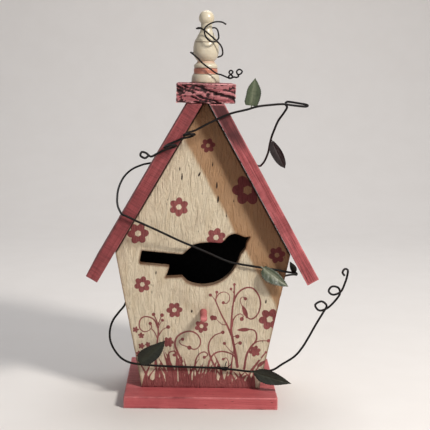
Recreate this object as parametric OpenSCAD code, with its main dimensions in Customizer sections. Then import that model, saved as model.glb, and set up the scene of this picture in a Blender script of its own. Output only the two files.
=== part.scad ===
// Gabled wooden birdhouse with a bird-shaped opening, a turned finial, a clean-out door
// and decorative wire with leaves. Millimetres, +Z up, front faces -Y.
// The origin is the centre of the underside of the base board.

/* [Base board] */
// Width of the base board
base_w = 140; // [125:1:180]
// Depth of the base board, front to back
base_d = 130; // [118:1:180]
// Thickness of the base board
base_h = 11; // [8:0.5:16]

/* [House body] */
// Width of the house body where it stands on the base board
floor_w = 110; // [90:1:132]
// Depth of the house body, outside of front panel to outside of back panel
body_d = 84; // [70:1:100]
// Base board left free in front of the front panel
front_margin = 28.5; // [24:0.5:40]
// Thickness of the front, back and side boards
board_t = 12; // [9:0.5:15]
// Outward lean of the side walls, degrees from upright
flare = 11.3; // [4:0.1:14]

/* [Roof] */
// Slope of the roof boards, degrees from level
roof_pitch = 60.4; // [57:0.1:63]
// Thickness of the roof boards
roof_t = 12; // [9:0.5:15]
// Height of the flat ridge cut above the underside of the base
ridge_z = 275.3; // [240:0.1:320]
// Gap between the two roof boards at the ridge
ridge_gap = 6; // [3:0.5:12]
// Distance from the centre plane to the lower inside edge of a roof board
eave_reach = 95.4; // [90:0.1:115]
// Roof overhang in front of the front panel
front_overhang = 15; // [8:0.5:20]
// Roof overhang behind the back panel
rear_overhang = 12; // [6:0.5:20]

/* [Ridge cap] */
// Width of the ridge cap block
cap_w = 54; // [46:1:70]
// Height of the ridge cap block
cap_h = 18; // [12:0.5:24]
// Distance of each cap end from the roof board end
cap_setback = 4; // [1:0.5:15]

/* [Finial] */
// Radius of the turned foot of the finial
finial_foot_r = 13.2; // [12.6:0.1:16]
// Radius of the large ball
finial_ball_r = 12; // [11.5:0.1:12.5]
// Radius of the small top ball
finial_knob_r = 7.2; // [6.5:0.1:8.5]
// Diameter of the dowel tenon under the finial
tenon_d = 9; // [6:0.5:12]
// Length of the dowel tenon
tenon_len = 12; // [8:0.5:16]

/* [Perch] */
// Diameter of the perch dowel
perch_d = 6.4; // [5:0.1:9]
// Length of perch in front of the front panel
perch_out = 27; // [15:1:40]
// Height of the perch axis above the floor
perch_up = 72.5; // [55:0.5:80]

/* [Bird opening] */
// Height of the lowest point of the bird opening above the floor
bird_up = 97; // [90:0.5:104]
// Size of the bird opening against its standard outline
bird_size = 1; // [0.8:0.01:1.1]

/* [Clean-out door] */
// Width of the door
door_w = 46; // [36:1:60]
// Height of the door
door_h = 52; // [40:1:58]
// Thickness of the door
door_t = 9; // [6:0.5:9]
// Clearance all round the door
door_gap = 0.8; // [0.4:0.1:1.5]
// Height of the lower edge of the doorway above the floor
door_up = 11; // [8:0.5:18]
// Height of each hinge
hinge_h = 14; // [12:1:16]
// Diameter of the hinge pins
hinge_pin_d = 1.6; // [1.2:0.1:2]
// Length of the turn button
button_len = 26; // [22:1:32]

/* [Wire and leaves] */
// Diameter of the vine wire
vine_d = 2; // [1.4:0.1:2.2]
// Diameter of the finial wire
finial_wire_d = 1.5; // [0.8:0.1:1.8]
// Thickness of the leaves
leaf_t = 0.8; // [0.5:0.1:1.2]

/* [Hidden] */
$fn = 64;

// --- Places worked out from the sizes above ---
front_y = -base_d / 2 + front_margin;
back_y = front_y + body_d;
roof_front_y = front_y - front_overhang;
roof_back_y = back_y + rear_overhang;
roof_mid_y = (roof_front_y + roof_back_y) / 2;
cap_d = roof_back_y - roof_front_y - 2 * cap_setback;
cap_top_z = ridge_z + cap_h;
roof_rise = tan(roof_pitch);
eave_z = ridge_z - (eave_reach - ridge_gap / 2) * roof_rise;
cut_w = roof_t / sin(roof_pitch);
wall_run = board_t / cos(flare);

// Half width of the body at height z, outside and inside the walls
function outer_half(z) = floor_w / 2 + (z - base_h) * tan(flare);
function inner_half(z) = outer_half(z) - wall_run;
// Half width under the roof boards at height z
function under_roof(z) = ridge_gap / 2 + (ridge_z - z) / roof_rise;
// Height at which a line that leans out by flare from half width h meets the roof underside
function meet_z(h) = base_h + (ridge_gap / 2 + (ridge_z - base_h) / roof_rise - h)
                     / (tan(flare) + 1 / roof_rise);

// --- Fasteners, shared by the pieces and by their holes ---
brad_d = 1.6;
brad_head_d = 2.6;
brad_len = 30;
brad_head_h = 1;
screw_d = 3.5;
screw_head_d = 7;
screw_len = 32;
small_screw_d = 1.5;
small_screw_len = 7;
small_head_d = 2.8;
small_head_h = 0.8;

// A brad that starts at the origin with its head flush and points along +Z
module brad() {
    cylinder(d = brad_d, h = brad_len, $fn = 24);
    cylinder(d = brad_head_d, h = brad_head_h, $fn = 24);
}
// A countersunk wood screw that starts at the origin and points along +Z
module wood_screw() {
    cylinder(d = screw_d, h = screw_len, $fn = 32);
    cylinder(d1 = screw_head_d, d2 = screw_d, h = (screw_head_d - screw_d) / 2, $fn = 32);
}
// A small round-headed screw whose shank points along +Z, head below the origin
module small_screw(len = small_screw_len) {
    cylinder(d = small_screw_d, h = len, $fn = 24);
    translate([0, 0, -small_head_h]) cylinder(d = small_head_d, h = small_head_h, $fn = 24);
}

// Brads through the front or the back panel into the edges of the side walls
brad_heights = [screw_len + 8, 76, 112];
module wall_brads(face_y, turn) {
    for (side = [-1, 1], z = brad_heights)
        translate([side * (outer_half(z) - wall_run / 2), face_y, z])
            rotate([turn, 0, 0]) brad();
}
// Brads through each roof board into the gable edges of both panels
roof_brad_heights = [155, 205, 250];
module roof_brad_set() {
    for (side = [-1, 1], z = roof_brad_heights, y = [front_y + board_t / 2, back_y - board_t / 2])
        translate([side * (under_roof(z) + roof_t * sin(roof_pitch)), y, z + roof_t * cos(roof_pitch)])
            rotate([0, side * (roof_pitch - 180), 0]) brad();
}
// Brads down through the cap into the flat cuts of the roof boards
cap_brad_x = ridge_gap / 2 + cut_w * 0.75;
module cap_brad_set() {
    for (side = [-1, 1], y = [roof_front_y + 20, roof_back_y - 20])
        translate([side * cap_brad_x, y, cap_top_z]) rotate([180, 0, 0]) brad();
}
// Screws up through the base into the side walls
base_screw_ys = [front_y + board_t + 12, back_y - board_t - 12];
base_screw_x = (floor_w - wall_run + (screw_len - base_h) * tan(flare)) / 2;
module base_screw_set() {
    for (side = [-1, 1], y = base_screw_ys) translate([side * base_screw_x, y, 0]) wood_screw();
}

// --- Bird opening ---
bird_mid_x = 3;
// Points on an arc about a centre, from one angle to another in equal steps
function arc(centre, r, from, to, steps) =
    [for (k = [0 : steps]) let (a = from + (to - from) * k / steps) centre + r * [cos(a), sin(a)]];
// Tail, belly, breast, beak, head and back, measured from below the middle of the belly
bird_outline = concat(
    [[-59, 32], [-61, 21], [-60, 20], [-38, 18.3], [-33.5, 17.6], [-35, 12], [-37, 7.3], [-22, 8.2]],
    arc([-3, 33], 33, 245, 335, 12),
    [[29.5, 23.5], [31.5, 29.7], [36, 35.5], [37, 41], [40, 46.3], [35, 46]],
    arc([26, 39.3], 9.5, 60, 150, 8),
    [[14, 40.2], [3, 40.7], [-6.4, 39.7], [-12.3, 37.3], [-21.6, 29]]);
module bird_opening(depth) {
    translate([bird_mid_x, 0, base_h + bird_up])
        rotate([90, 0, 0])
            linear_extrude(depth, center = true) scale(bird_size) polygon(bird_outline);
}

// --- Boards ---
module base_board() {
    color([0.72, 0.36, 0.42]) difference() {
        translate([-base_w / 2, -base_d / 2, 0]) cube([base_w, base_d, base_h]);
        base_screw_set();
    }
}

// Outline of a front or back panel: leaning sides and a gable with a flat top
module gable_outline() {
    corner_z = meet_z(floor_w / 2);
    polygon([[-floor_w / 2, base_h], [floor_w / 2, base_h], [outer_half(corner_z), corner_z],
             [ridge_gap / 2, ridge_z], [-ridge_gap / 2, ridge_z], [-outer_half(corner_z), corner_z]]);
}
module gable_panel(y) {
    translate([0, y + board_t, 0]) rotate([90, 0, 0]) linear_extrude(board_t) gable_outline();
}

perch_x = 1.4;
perch_z = base_h + perch_up;
module front_panel() {
    color([0.86, 0.80, 0.68]) difference() {
        gable_panel(front_y);
        translate([0, front_y + board_t / 2, 0]) bird_opening(board_t + 2);
        translate([perch_x, front_y - 1, perch_z]) rotate([-90, 0, 0])
            cylinder(d = perch_d, h = board_t + 2);
        wall_brads(front_y, -90);
        roof_brad_set();
    }
}

// Doorway and door places
way_w = door_w + 2 * door_gap;
way_h = door_h + 2 * door_gap;
way_z = base_h + door_up;
door_z = way_z + door_gap;
module back_panel() {
    color([0.86, 0.80, 0.68]) difference() {
        gable_panel(back_y - board_t);
        translate([-way_w / 2, back_y - board_t - 1, way_z]) cube([way_w, board_t + 2, way_h]);
        wall_brads(back_y, 90);
        roof_brad_set();
        hinge_screw_set(1);
        button_screw();
        staple_set(panel_staples);
    }
}

module wall_board(side) {
    top_out = meet_z(floor_w / 2);
    top_in = meet_z(floor_w / 2 - wall_run);
    translate([0, back_y - board_t, 0]) rotate([90, 0, 0]) linear_extrude(body_d - 2 * board_t)
        polygon([[side * floor_w / 2, base_h], [side * outer_half(top_out), top_out],
                 [side * inner_half(top_in), top_in], [side * (floor_w / 2 - wall_run), base_h]]);
}
module side_wall(side) {
    color([0.86, 0.80, 0.68]) difference() {
        wall_board(side);
        wall_brads(front_y, -90);
        wall_brads(back_y, 90);
        base_screw_set();
    }
}
module left_wall() { side_wall(-1); }
module right_wall() { side_wall(1); }

module roof_board(side) {
    tip_x = eave_reach + roof_t * sin(roof_pitch);
    tip_z = eave_z + roof_t * cos(roof_pitch);
    color([0.62, 0.27, 0.34]) difference() {
        translate([0, roof_back_y, 0]) rotate([90, 0, 0]) linear_extrude(roof_back_y - roof_front_y)
            polygon([[side * ridge_gap / 2, ridge_z], [side * (ridge_gap / 2 + cut_w), ridge_z],
                     [side * tip_x, tip_z], [side * eave_reach, eave_z]]);
        roof_brad_set();
        cap_brad_set();
        staple_set(roof_staples);
    }
}
module left_roof_board() { roof_board(-1); }
module right_roof_board() { roof_board(1); }

module ridge_cap() {
    color([0.68, 0.33, 0.38]) difference() {
        translate([-cap_w / 2, roof_front_y + cap_setback, ridge_z]) cube([cap_w, cap_d, cap_h]);
        translate([0, roof_mid_y, cap_top_z - tenon_len]) cylinder(d = tenon_d, h = tenon_len + 1);
        cap_brad_set();
    }
}

// Turned finial: half profile as radius and height above the cap
knob_z = 59.4;
module finial() {
    ball_z = 29.5;
    color([0.90, 0.84, 0.72]) translate([0, roof_mid_y, cap_top_z]) {
        rotate_extrude($fn = 72) polygon(concat(
            [[0, 0], [finial_foot_r, 0]],
            [for (a = [0 : 15 : 75]) [11.4 + (finial_foot_r - 11.4) * cos(a), 1.2 + 6.6 * sin(a)]],
            [[11.2, 8.4], [11.2, 12.8], [10.7, 13.2], [11.0, 13.8], [11.2, 14.8], [10.9, 16.2], [10, 17.2]],
            [for (a = [-65 : 13 : 0]) [4.4 + (finial_ball_r - 4.4) * cos(a), ball_z + 10.6 * sin(a)]],
            [for (a = [6.5 : 6.5 : 26]) [4.4 + (finial_ball_r - 4.4) * cos(a), ball_z + 16.4 * sin(a)]],
            [[10.7, 37.3], [11, 37.8], [10.6, 38.8], [9.6, 40.6], [8, 43.4], [6.5, 46.2], [5.5, 48.6]],
            [[5.2, 50.2], [5.5, 51.4], [5.2, 52.4]],
            [for (a = [-44 : 13.4 : 90]) finial_knob_r * [cos(a), sin(a)] + [0, knob_z]]));
        translate([0, 0, -tenon_len]) cylinder(d = tenon_d, h = tenon_len);
    }
}

module perch() {
    color([0.70, 0.28, 0.36]) translate([perch_x, front_y + board_t, perch_z]) rotate([90, 0, 0])
        cylinder(d = perch_d, h = board_t + perch_out);
}

// --- Clean-out door: hinged at its +X side, axis upright, opens outward ---
knuckle_d = hinge_pin_d + 1.6;
hinge_leaf_t = 0.8;
hinge_leaf_w = 8;
pin_play = 0.05;
hinge_x = way_w / 2 - door_gap / 2;
hinge_y = back_y + knuckle_d / 2;
knuckle_h = hinge_h / 3;
knuckle_gap = 0.3;
hinge_zs = [door_z + 5, door_z + door_h - 5 - hinge_h];

module clean_out_door() {
    color([0.86, 0.80, 0.68]) difference() {
        translate([-door_w / 2, back_y - door_t, door_z]) cube([door_w, door_t, door_h]);
        hinge_screw_set(-1);
        translate([knob_x, back_y + 1, knob_z_place]) rotate([90, 0, 0])
            cylinder(d = knob_shank_d, h = knob_shank_len + 1, $fn = 32);
    }
}

knob_x = -door_w / 2 + 9;
knob_z_place = door_z + door_h / 2;
knob_shank_d = 3;
knob_shank_len = 6;
module door_knob() {
    color([0.72, 0.36, 0.42]) translate([knob_x, back_y, knob_z_place]) rotate([-90, 0, 0]) {
        rotate_extrude($fn = 48) polygon([[0, 0], [3.2, 0], [3.2, 1], [2.4, 2.6], [2.6, 4],
            [4.2, 5.4], [5, 7], [4.8, 8.6], [3.6, 9.8], [1.8, 10.4], [0, 10.5]]);
        translate([0, 0, -knob_shank_len]) cylinder(d = knob_shank_d, h = knob_shank_len, $fn = 32);
    }
}

// Heights at which one hinge's knuckles start: frame, door, frame
module knuckle(z) {
    difference() {
        translate([hinge_x, hinge_y, z + knuckle_gap / 2])
            cylinder(d = knuckle_d, h = knuckle_h - knuckle_gap, $fn = 32);
        translate([hinge_x, hinge_y, z - 1]) cylinder(d = hinge_pin_d + 2 * pin_play, h = knuckle_h + 2);
    }
}
// Flat leaf on one side of the pin, joined to the knuckle at height z
module hinge_tab(side, z) {
    difference() {
        translate([side > 0 ? hinge_x : hinge_x - knuckle_d / 2 - 1, back_y, z + knuckle_gap / 2])
            cube([knuckle_d / 2 + 1, hinge_leaf_t, knuckle_h - knuckle_gap]);
        translate([hinge_x, hinge_y, z - 1]) cylinder(d = hinge_pin_d + 2 * pin_play, h = knuckle_h + 2);
    }
}
module hinge_plate(side, z) {
    inner = knuckle_d / 2 + 0.4;
    translate([side > 0 ? hinge_x + inner : hinge_x - inner - hinge_leaf_w, back_y, z])
        cube([hinge_leaf_w, hinge_leaf_t, hinge_h]);
}
module frame_hinge_leaves() {
    color([0.72, 0.60, 0.32]) difference() {
        for (z = hinge_zs) union() {
            hinge_plate(1, z);
            for (k = [0, 2]) {
                knuckle(z + k * knuckle_h);
                hinge_tab(1, z + k * knuckle_h);
            }
        }
        hinge_screw_set(1);
    }
}
module door_hinge_leaves() {
    color([0.72, 0.60, 0.32]) difference() {
        for (z = hinge_zs) union() {
            hinge_plate(-1, z);
            knuckle(z + knuckle_h);
            hinge_tab(-1, z + knuckle_h);
        }
        hinge_screw_set(-1);
    }
}
module hinge_pins() {
    color([0.62, 0.52, 0.28]) for (z = hinge_zs) translate([hinge_x, hinge_y, z - 0.6]) {
        cylinder(d = hinge_pin_d, h = hinge_h + 1.2, $fn = 32);
        translate([0, 0, hinge_h + 0.6]) cylinder(d = knuckle_d - 0.6, h = 0.8, $fn = 32);
        translate([0, 0, -0.2]) cylinder(d = knuckle_d - 0.6, h = 0.6, $fn = 32);
    }
}
module hinge_screw_set(side) {
    for (z = hinge_zs, k = [0.22, 0.78])
        translate([hinge_x + side * (knuckle_d / 2 + 0.4 + hinge_leaf_w / 2),
                   back_y + hinge_leaf_t, z + k * hinge_h]) rotate([90, 0, 0]) small_screw();
}
module frame_hinge_screws() { color([0.66, 0.56, 0.30]) hinge_screw_set(1); }
module door_hinge_screws() { color([0.66, 0.56, 0.30]) hinge_screw_set(-1); }

// --- Turn button: pivots on the back panel beside the free edge of the door ---
button_w = 8;
button_t = 4;
button_play = 0.3;
washer_t = 0.8;
button_x = -way_w / 2 - 8;
button_z = knob_z_place + 14;
button_screw_d = 3;
button_screw_deep = 8;
module at_button() {
    translate([button_x, back_y, button_z]) rotate([-90, 0, 0]) children();
}
module turn_button() {
    reach = button_len / 2 - button_w / 2;
    color([0.72, 0.36, 0.42]) at_button() translate([0, 0, button_play]) difference() {
        union() {
            for (s = [-1, 1]) translate([0, s * reach, 0]) cylinder(d = button_w, h = button_t);
            translate([-button_w / 2, -reach, 0]) cube([button_w, 2 * reach, button_t]);
        }
        translate([0, 0, -1]) cylinder(d = button_screw_d + 2 * pin_play, h = button_t + 2);
    }
}
module button_washer() {
    color([0.70, 0.70, 0.72]) at_button() translate([0, 0, 2 * button_play + button_t]) difference() {
        cylinder(d = 7.5, h = washer_t);
        translate([0, 0, -1]) cylinder(d = button_screw_d, h = washer_t + 2);
    }
}
module button_screw() {
    head_z = 2 * button_play + button_t + washer_t;
    color([0.70, 0.70, 0.72]) at_button() {
        translate([0, 0, -button_screw_deep]) cylinder(d = button_screw_d, h = button_screw_deep + head_z);
        translate([0, 0, head_z]) cylinder(d = 2 * button_screw_d, h = 1.6);
    }
}

// --- Brads and screws ---
module front_brads() { color([0.80, 0.74, 0.62]) wall_brads(front_y, -90); }
module back_brads() { color([0.80, 0.74, 0.62]) wall_brads(back_y, 90); }
module roof_brads() { color([0.60, 0.28, 0.34]) roof_brad_set(); }
module cap_brads() { color([0.60, 0.28, 0.34]) cap_brad_set(); }
module base_screws() { color([0.70, 0.70, 0.72]) base_screw_set(); }

// --- Wire ---
// A smooth route through hand-set points, then a round tube along it
function blend_point(a, b, c, d, t) =
    0.5 * (2 * b + (c - a) * t + (2 * a - 5 * b + 4 * c - d) * t * t + (3 * b - a - 3 * c + d) * t * t * t);
function smooth_route(p, step) = concat([for (i = [0 : len(p) - 2])
    let (a = p[max(i - 1, 0)], d = p[min(i + 2, len(p) - 1)], n = ceil(norm(p[i + 1] - p[i]) / step))
        for (k = [0 : n - 1]) blend_point(a, p[i], p[i + 1], d, k / n)], [p[len(p) - 1]]);
function unit(v) = v / norm(v);
function headings(p) = [for (i = [0 : len(p) - 1]) unit(p[min(i + 1, len(p) - 1)] - p[max(i - 1, 0)])];
function carry(t, side, i = 0) = i == len(t) ? [] :
    let (s = unit(side - (side * t[i]) * t[i])) concat([s], carry(t, s, i + 1));
module tube(route, d, step, sides = 8) {
    p = smooth_route(route, step);
    t = headings(p);
    s = carry(t, abs(t[0][2]) < 0.9 ? [0, 0, 1] : [1, 0, 0]);
    n = len(p);
    points = [for (i = [0 : n - 1], k = [0 : sides - 1])
        let (a = 360 * k / sides) p[i] + d / 2 * (cos(a) * s[i] + sin(a) * cross(t[i], s[i]))];
    faces = concat(
        [for (i = [0 : n - 2], k = [0 : sides - 1]) let (m = (k + 1) % sides)
            [i * sides + k, (i + 1) * sides + k, (i + 1) * sides + m, i * sides + m]],
        [[for (k = [0 : sides - 1]) k]],
        [[for (k = [sides - 1 : -1 : 0]) (n - 1) * sides + k]]);
    polyhedron(points, faces);
}

vine_route = [
    // Eye and two small coils in front of the gable
    [-50, -57, 229], [-53, -59, 227], [-57, -58, 229], [-56, -55, 232], [-52, -53.5, 231],
    [-48, -53.5, 228], [-42, -54, 231], [-36, -54, 234], [-30, -54, 236], [-26, -57, 238],
    [-26, -61, 239], [-30, -64, 239], [-35, -62, 237], [-36, -58, 237], [-33, -55, 239],
    [-26, -54, 242], [-19, -54, 245], [-14, -54, 246], [-10, -57, 248], [-10, -61, 249],
    [-13, -63, 249], [-18, -61, 248], [-19, -57, 248], [-15, -55, 250], [-9, -54, 252],
    [0, -54, 257], [8, -54, 261], [21, -54, 267], [36, -54, 271], [46, -54, 274],
    [57, -53, 275.5], [68, -52, 276.4], [76, -51.5, 275.6],
    // Hairpin beyond the roof, then down and round to the back
    [84, -51, 274.8], [89, -50.5, 274.6], [90.5, -50, 275.6], [88, -49.5, 276.5], [82, -49, 277.4],
    [76, -48.5, 278.2], [72, -48, 278.4], [70.6, -47.5, 276.4], [72.4, -46, 273.6], [70.5, -42, 269],
    [66, -34, 261], [63.5, -26, 253], [61.5, -18, 245], [60.8, -8, 237.5], [60.6, 6, 229],
    [58.7, 20, 220], [56.5, 36, 214], [56.2, 50, 212], [55, 60.5, 211], [52, 61.5, 212], [45, 61.5, 213], [30, 66, 216], [0, 67, 217],
    [-30, 66, 216], [-45, 61.5, 213], [-52, 61.5, 212], [-58, 60.5, 211],
    // Round the left roof board and across the front panel
    [-62, 57, 210], [-70, 46, 207], [-77, 32, 201], [-81, 14, 192], [-81, -6, 184],
    [-79, -26, 180], [-76, -44, 178], [-73, -54, 176], [-68, -55, 174], [-60, -54, 170],
    [-43, -50, 162], [-23, -45, 152], [-10, -41, 146], [6, -39, 139], [20, -39, 133],
    [31, -39, 130], [52, -40, 127], [67, -40, 125], [77, -39.5, 123], [86, -34, 121],
    // Under the right eave and round the back
    [88, -22, 117], [88, 4, 112], [85, 30, 106], [79, 45, 101], [70, 50.5, 98],
    [45, 49, 95], [20, 50, 92], [-10, 50, 90], [-40, 49, 88], [-62, 50.5, 86],
    [-72, 46, 85], [-73, 32, 84.5], [-72.6, 16, 84], [-72.5, 2, 83.5],
    // Low sweep in front of the base and out to the right
    [-74, -8, 81], [-78, -14, 77], [-83, -18, 70.5], [-85.5, -20, 63.5], [-86, -22, 56],
    [-84.5, -25, 50], [-80.5, -30, 44], [-74.5, -36, 39], [-67, -40, 36], [-58, -41, 34.5],
    [-44, -40, 33], [-26, -39, 32], [-1, -39, 31.5], [16, -39, 31], [34, -40, 29.6], [47, -42, 29],
    [65, -44, 31], [75, -44, 37], [86, -43, 44], [93, -42, 52], [99, -41, 62],
    [106, -40, 75], [113, -39, 87], [115, -39, 92], [110, -40, 96], [104, -42, 93],
    [108, -43, 88], [116, -43, 91], [124, -41, 99], [127, -39, 104], [125, -39, 109],
    [119, -40, 110], [116, -42, 106], [120, -43, 103], [127, -43, 106], [131, -41, 114],
    [133, -40, 121], [133, -41, 126], [130, -42, 127], [128, -43, 124], [130, -44, 121]];

finial_route = [
    // Curl beside the small ball, then behind the neck
    [18, -2, 347], [14, -3, 349], [8, -5, 349], [3, -6, 347], [-1, -7, 344], [-2, -9, 340],
    [-1, -10, 336], [1, -12, 333], [4, -13, 331], [8, -12, 331], [11, -10, 334], [11, -7, 338],
    [10, -2, 342], [8, 5, 344], [4, 11, 344], [-3, 12, 344], [-8, 7, 343], [-9, 0, 343],
    // Across the front of the bell and behind the large ball
    [-5, -5, 343], [3, -8, 337], [9, -8, 332], [13, -7, 328], [15, -3, 324], [15, 5, 319],
    [9, 16, 317], [-1, 18, 318], [-10, 14, 320], [-14, 5, 321], [-13, -2, 320],
    // Down across the front to the two curls
    [-8, -8, 316], [-3, -10, 311], [4, -11, 306], [10, -11, 302], [14, -11, 301], [19, -12, 299],
    [22.5, -12, 297.8], [24.6, -12.5, 299.6], [22.8, -13, 301.4], [21.2, -13.5, 303.4],
    [22.8, -14, 305.2], [24.8, -14.5, 303.6], [23, -15, 301.6], [20.8, -15.5, 299.7],
    [22.6, -16, 297.9], [25.6, -16.4, 299.2], [28, -16.8, 298.8], [30, -17.2, 300.2],
    [28.6, -17.7, 302.2], [28, -18.2, 304.4], [30.4, -18.7, 306.2], [33, -19.2, 304.4],
    [31.4, -19.7, 302], [28.2, -20.2, 301.4]];

module vine_wire() { color([0.10, 0.08, 0.07]) tube(vine_route, vine_d, 5); }
module finial_wire() { color([0.10, 0.08, 0.07]) tube(finial_route, finial_wire_d, 3); }

// --- Staples that hold the vine wire at the back ---
staple_d = 1;
staple_span = vine_d + 2;
staple_leg = 8;
// Each place is the wire's centre: x, y, z
roof_staples = [[-48.5, 61.5, 212.5], [48.5, 61.5, 212.5]];
panel_staples = [[45, 49, 95], [-40, 49, 88]];
module staple(p) {
    crown_y = p[1] + vine_d / 2 + staple_d / 2;
    for (s = [-1, 1]) translate([p[0], crown_y + staple_d / 2, p[2] + s * staple_span / 2])
        rotate([90, 0, 0]) cylinder(d = staple_d, h = staple_leg + staple_d, $fn = 24);
    translate([p[0], crown_y, p[2] - staple_span / 2]) cylinder(d = staple_d, h = staple_span, $fn = 24);
}
module staple_set(places) { for (p = places) staple(p); }
module wire_staples() {
    color([0.70, 0.70, 0.72]) staple_set(concat(roof_staples, panel_staples));
}

// A tight coil of thin wire with three cut ends, on the low sweep of the vine wire
module tie_knot() {
    color([0.10, 0.08, 0.07]) translate([22, -39.3, 30.5]) {
        for (k = [-1 : 1]) translate([k * 1.4, 0, 0]) rotate([0, 90, 0])
            cylinder(d = vine_d + 2, h = 1.3, center = true, $fn = 32);
        for (a = [30, 85, 150]) rotate([0, -a, 0]) translate([1, -1.2, 0]) rotate([0, 90, 0])
            cylinder(d = 0.8, h = 7, $fn = 16);
    }
}

// --- Leaves: thin plates with their stems on the vine wire ---
// The outline runs along +X from the stem to the tip; wide is the greatest width
module leaf(base, len, wide, angle, lean, roll = 0, fullness = 0.42) {
    edge = [for (k = [0 : 8]) let (t = k / 8)
        [len * (0.06 + 0.94 * t), wide / 2 * sin(180 * pow(t, ln(0.5) / ln(fullness)))]];
    translate(base) rotate([0, -angle, 0]) rotate([0, 0, -lean]) rotate([90 + roll, 0, 0])
        linear_extrude(leaf_t, center = true) polygon(concat(
            [[-1, -0.7]], [[len * 0.06, -0.7]],
            [for (p = edge) if (p[0] > len * 0.12 && p[0] < len * 0.99) [p[0], -p[1]]], [[len, 0]],
            [for (k = [8 : -1 : 0]) if (edge[k][0] > len * 0.12 && edge[k][0] < len * 0.99) edge[k]],
            [[len * 0.06, 0.7], [-1, 0.7]]));
}
module top_leaf() { color([0.62, 0.74, 0.55]) leaf([40, -54, 273], 26, 14, 84, 12); }
module upper_right_leaf() { color([0.28, 0.16, 0.17]) leaf([61.5, -18, 242.5], 29, 12, -64, 8, 8); }
module middle_leaf() { color([0.36, 0.48, 0.32]) leaf([54, -41, 127.5], 30, 16, -34, 12, -15); }
module eave_leaf() { color([0.18, 0.20, 0.14]) leaf([86, -34, 121], 12, 6, 118, 0); }
module lower_left_leaf() { color([0.20, 0.30, 0.20]) leaf([-58, -42, 34.5], 34, 17, 44, 10); }
module lower_right_leaf() { color([0.20, 0.26, 0.16]) leaf([47, -43, 29], 38, 14, -14, 12); }

base_board();
front_panel();
back_panel();
left_wall();
right_wall();
left_roof_board();
right_roof_board();
ridge_cap();
finial();
perch();
clean_out_door();
door_knob();
frame_hinge_leaves();
door_hinge_leaves();
hinge_pins();
frame_hinge_screws();
door_hinge_screws();
turn_button();
button_washer();
button_screw();
front_brads();
back_brads();
roof_brads();
cap_brads();
base_screws();
vine_wire();
finial_wire();
wire_staples();
tie_knot();
top_leaf();
upper_right_leaf();
middle_leaf();
eave_leaf();
lower_left_leaf();
lower_right_leaf();
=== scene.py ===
"""Gabled birdhouse with a bird-shaped opening, a turned finial, a clean-out door, wire and tin leaves."""

import logging
import math
import random
from collections.abc import Callable, Iterable, Sequence
from dataclasses import dataclass, field
from enum import Enum

import bmesh
import bpy
import numpy as np
from mathutils import Matrix, Vector, noise

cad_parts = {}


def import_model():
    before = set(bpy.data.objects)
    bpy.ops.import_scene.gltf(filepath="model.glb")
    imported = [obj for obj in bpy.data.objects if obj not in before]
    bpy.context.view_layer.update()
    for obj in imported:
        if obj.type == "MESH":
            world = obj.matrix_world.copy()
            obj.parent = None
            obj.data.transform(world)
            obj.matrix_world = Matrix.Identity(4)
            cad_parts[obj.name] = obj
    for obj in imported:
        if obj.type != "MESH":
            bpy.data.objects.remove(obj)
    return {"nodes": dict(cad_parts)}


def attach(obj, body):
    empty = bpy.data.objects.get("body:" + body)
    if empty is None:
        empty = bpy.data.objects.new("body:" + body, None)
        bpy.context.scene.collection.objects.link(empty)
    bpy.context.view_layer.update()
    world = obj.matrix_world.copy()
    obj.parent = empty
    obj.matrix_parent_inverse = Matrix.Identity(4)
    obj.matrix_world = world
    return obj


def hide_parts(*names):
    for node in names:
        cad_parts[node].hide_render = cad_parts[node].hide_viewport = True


LOG = logging.getLogger("birdhouse")
MM = 0.001
Colour = tuple[float, float, float, float]
Socket = bpy.types.NodeSocket
UP, SIDE, THROUGH = Vector((0, 0, 1)), Vector((1, 0, 0)), Vector((0, 1, 0))
FINIAL_FOOT = 293.3
OVAL = (0.30, 0.74, 0.96, 1.0, 0.93, 0.78, 0.55, 0.28, 0.02)
NODES: dict[str, bpy.types.Object] = {}


def tone(red: int, green: int, blue: int) -> Colour:
    """Turn a screen colour of 0 to 255 into the linear colour a shader takes.

    Args:
        red, green, blue: the screen colour.

    Returns:
        The linear colour with full alpha.
    """
    parts = [v / 255 / 12.92 if v <= 10 else ((v / 255 + 0.055) / 1.055) ** 2.4 for v in (red, green, blue)]
    return (parts[0], parts[1], parts[2], 1.0)


# Near-black painted on the faces round the nest cavity: painted shade, so that the bird opening reads dark.
NEST_SHADE = tone(9, 8, 8)


class Run(Enum):
    """The way the wood grain runs, as an angle in degrees from +X towards +Z."""

    LEVEL = 0.0
    UPRIGHT = 90.0
    LEFT_SLOPE = 60.4
    RIGHT_SLOPE = 119.6

    @property
    def along(self) -> Vector:
        """Direction along the grain."""
        turn = math.radians(self.value)
        return Vector((math.cos(turn), 0.0, math.sin(turn)))

    @property
    def across(self) -> Vector:
        """Direction across the grain, in the XZ plane."""
        turn = math.radians(self.value)
        return Vector((-math.sin(turn), 0.0, math.cos(turn)))


# --- Shader building ---------------------------------------------------------------------------


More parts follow.
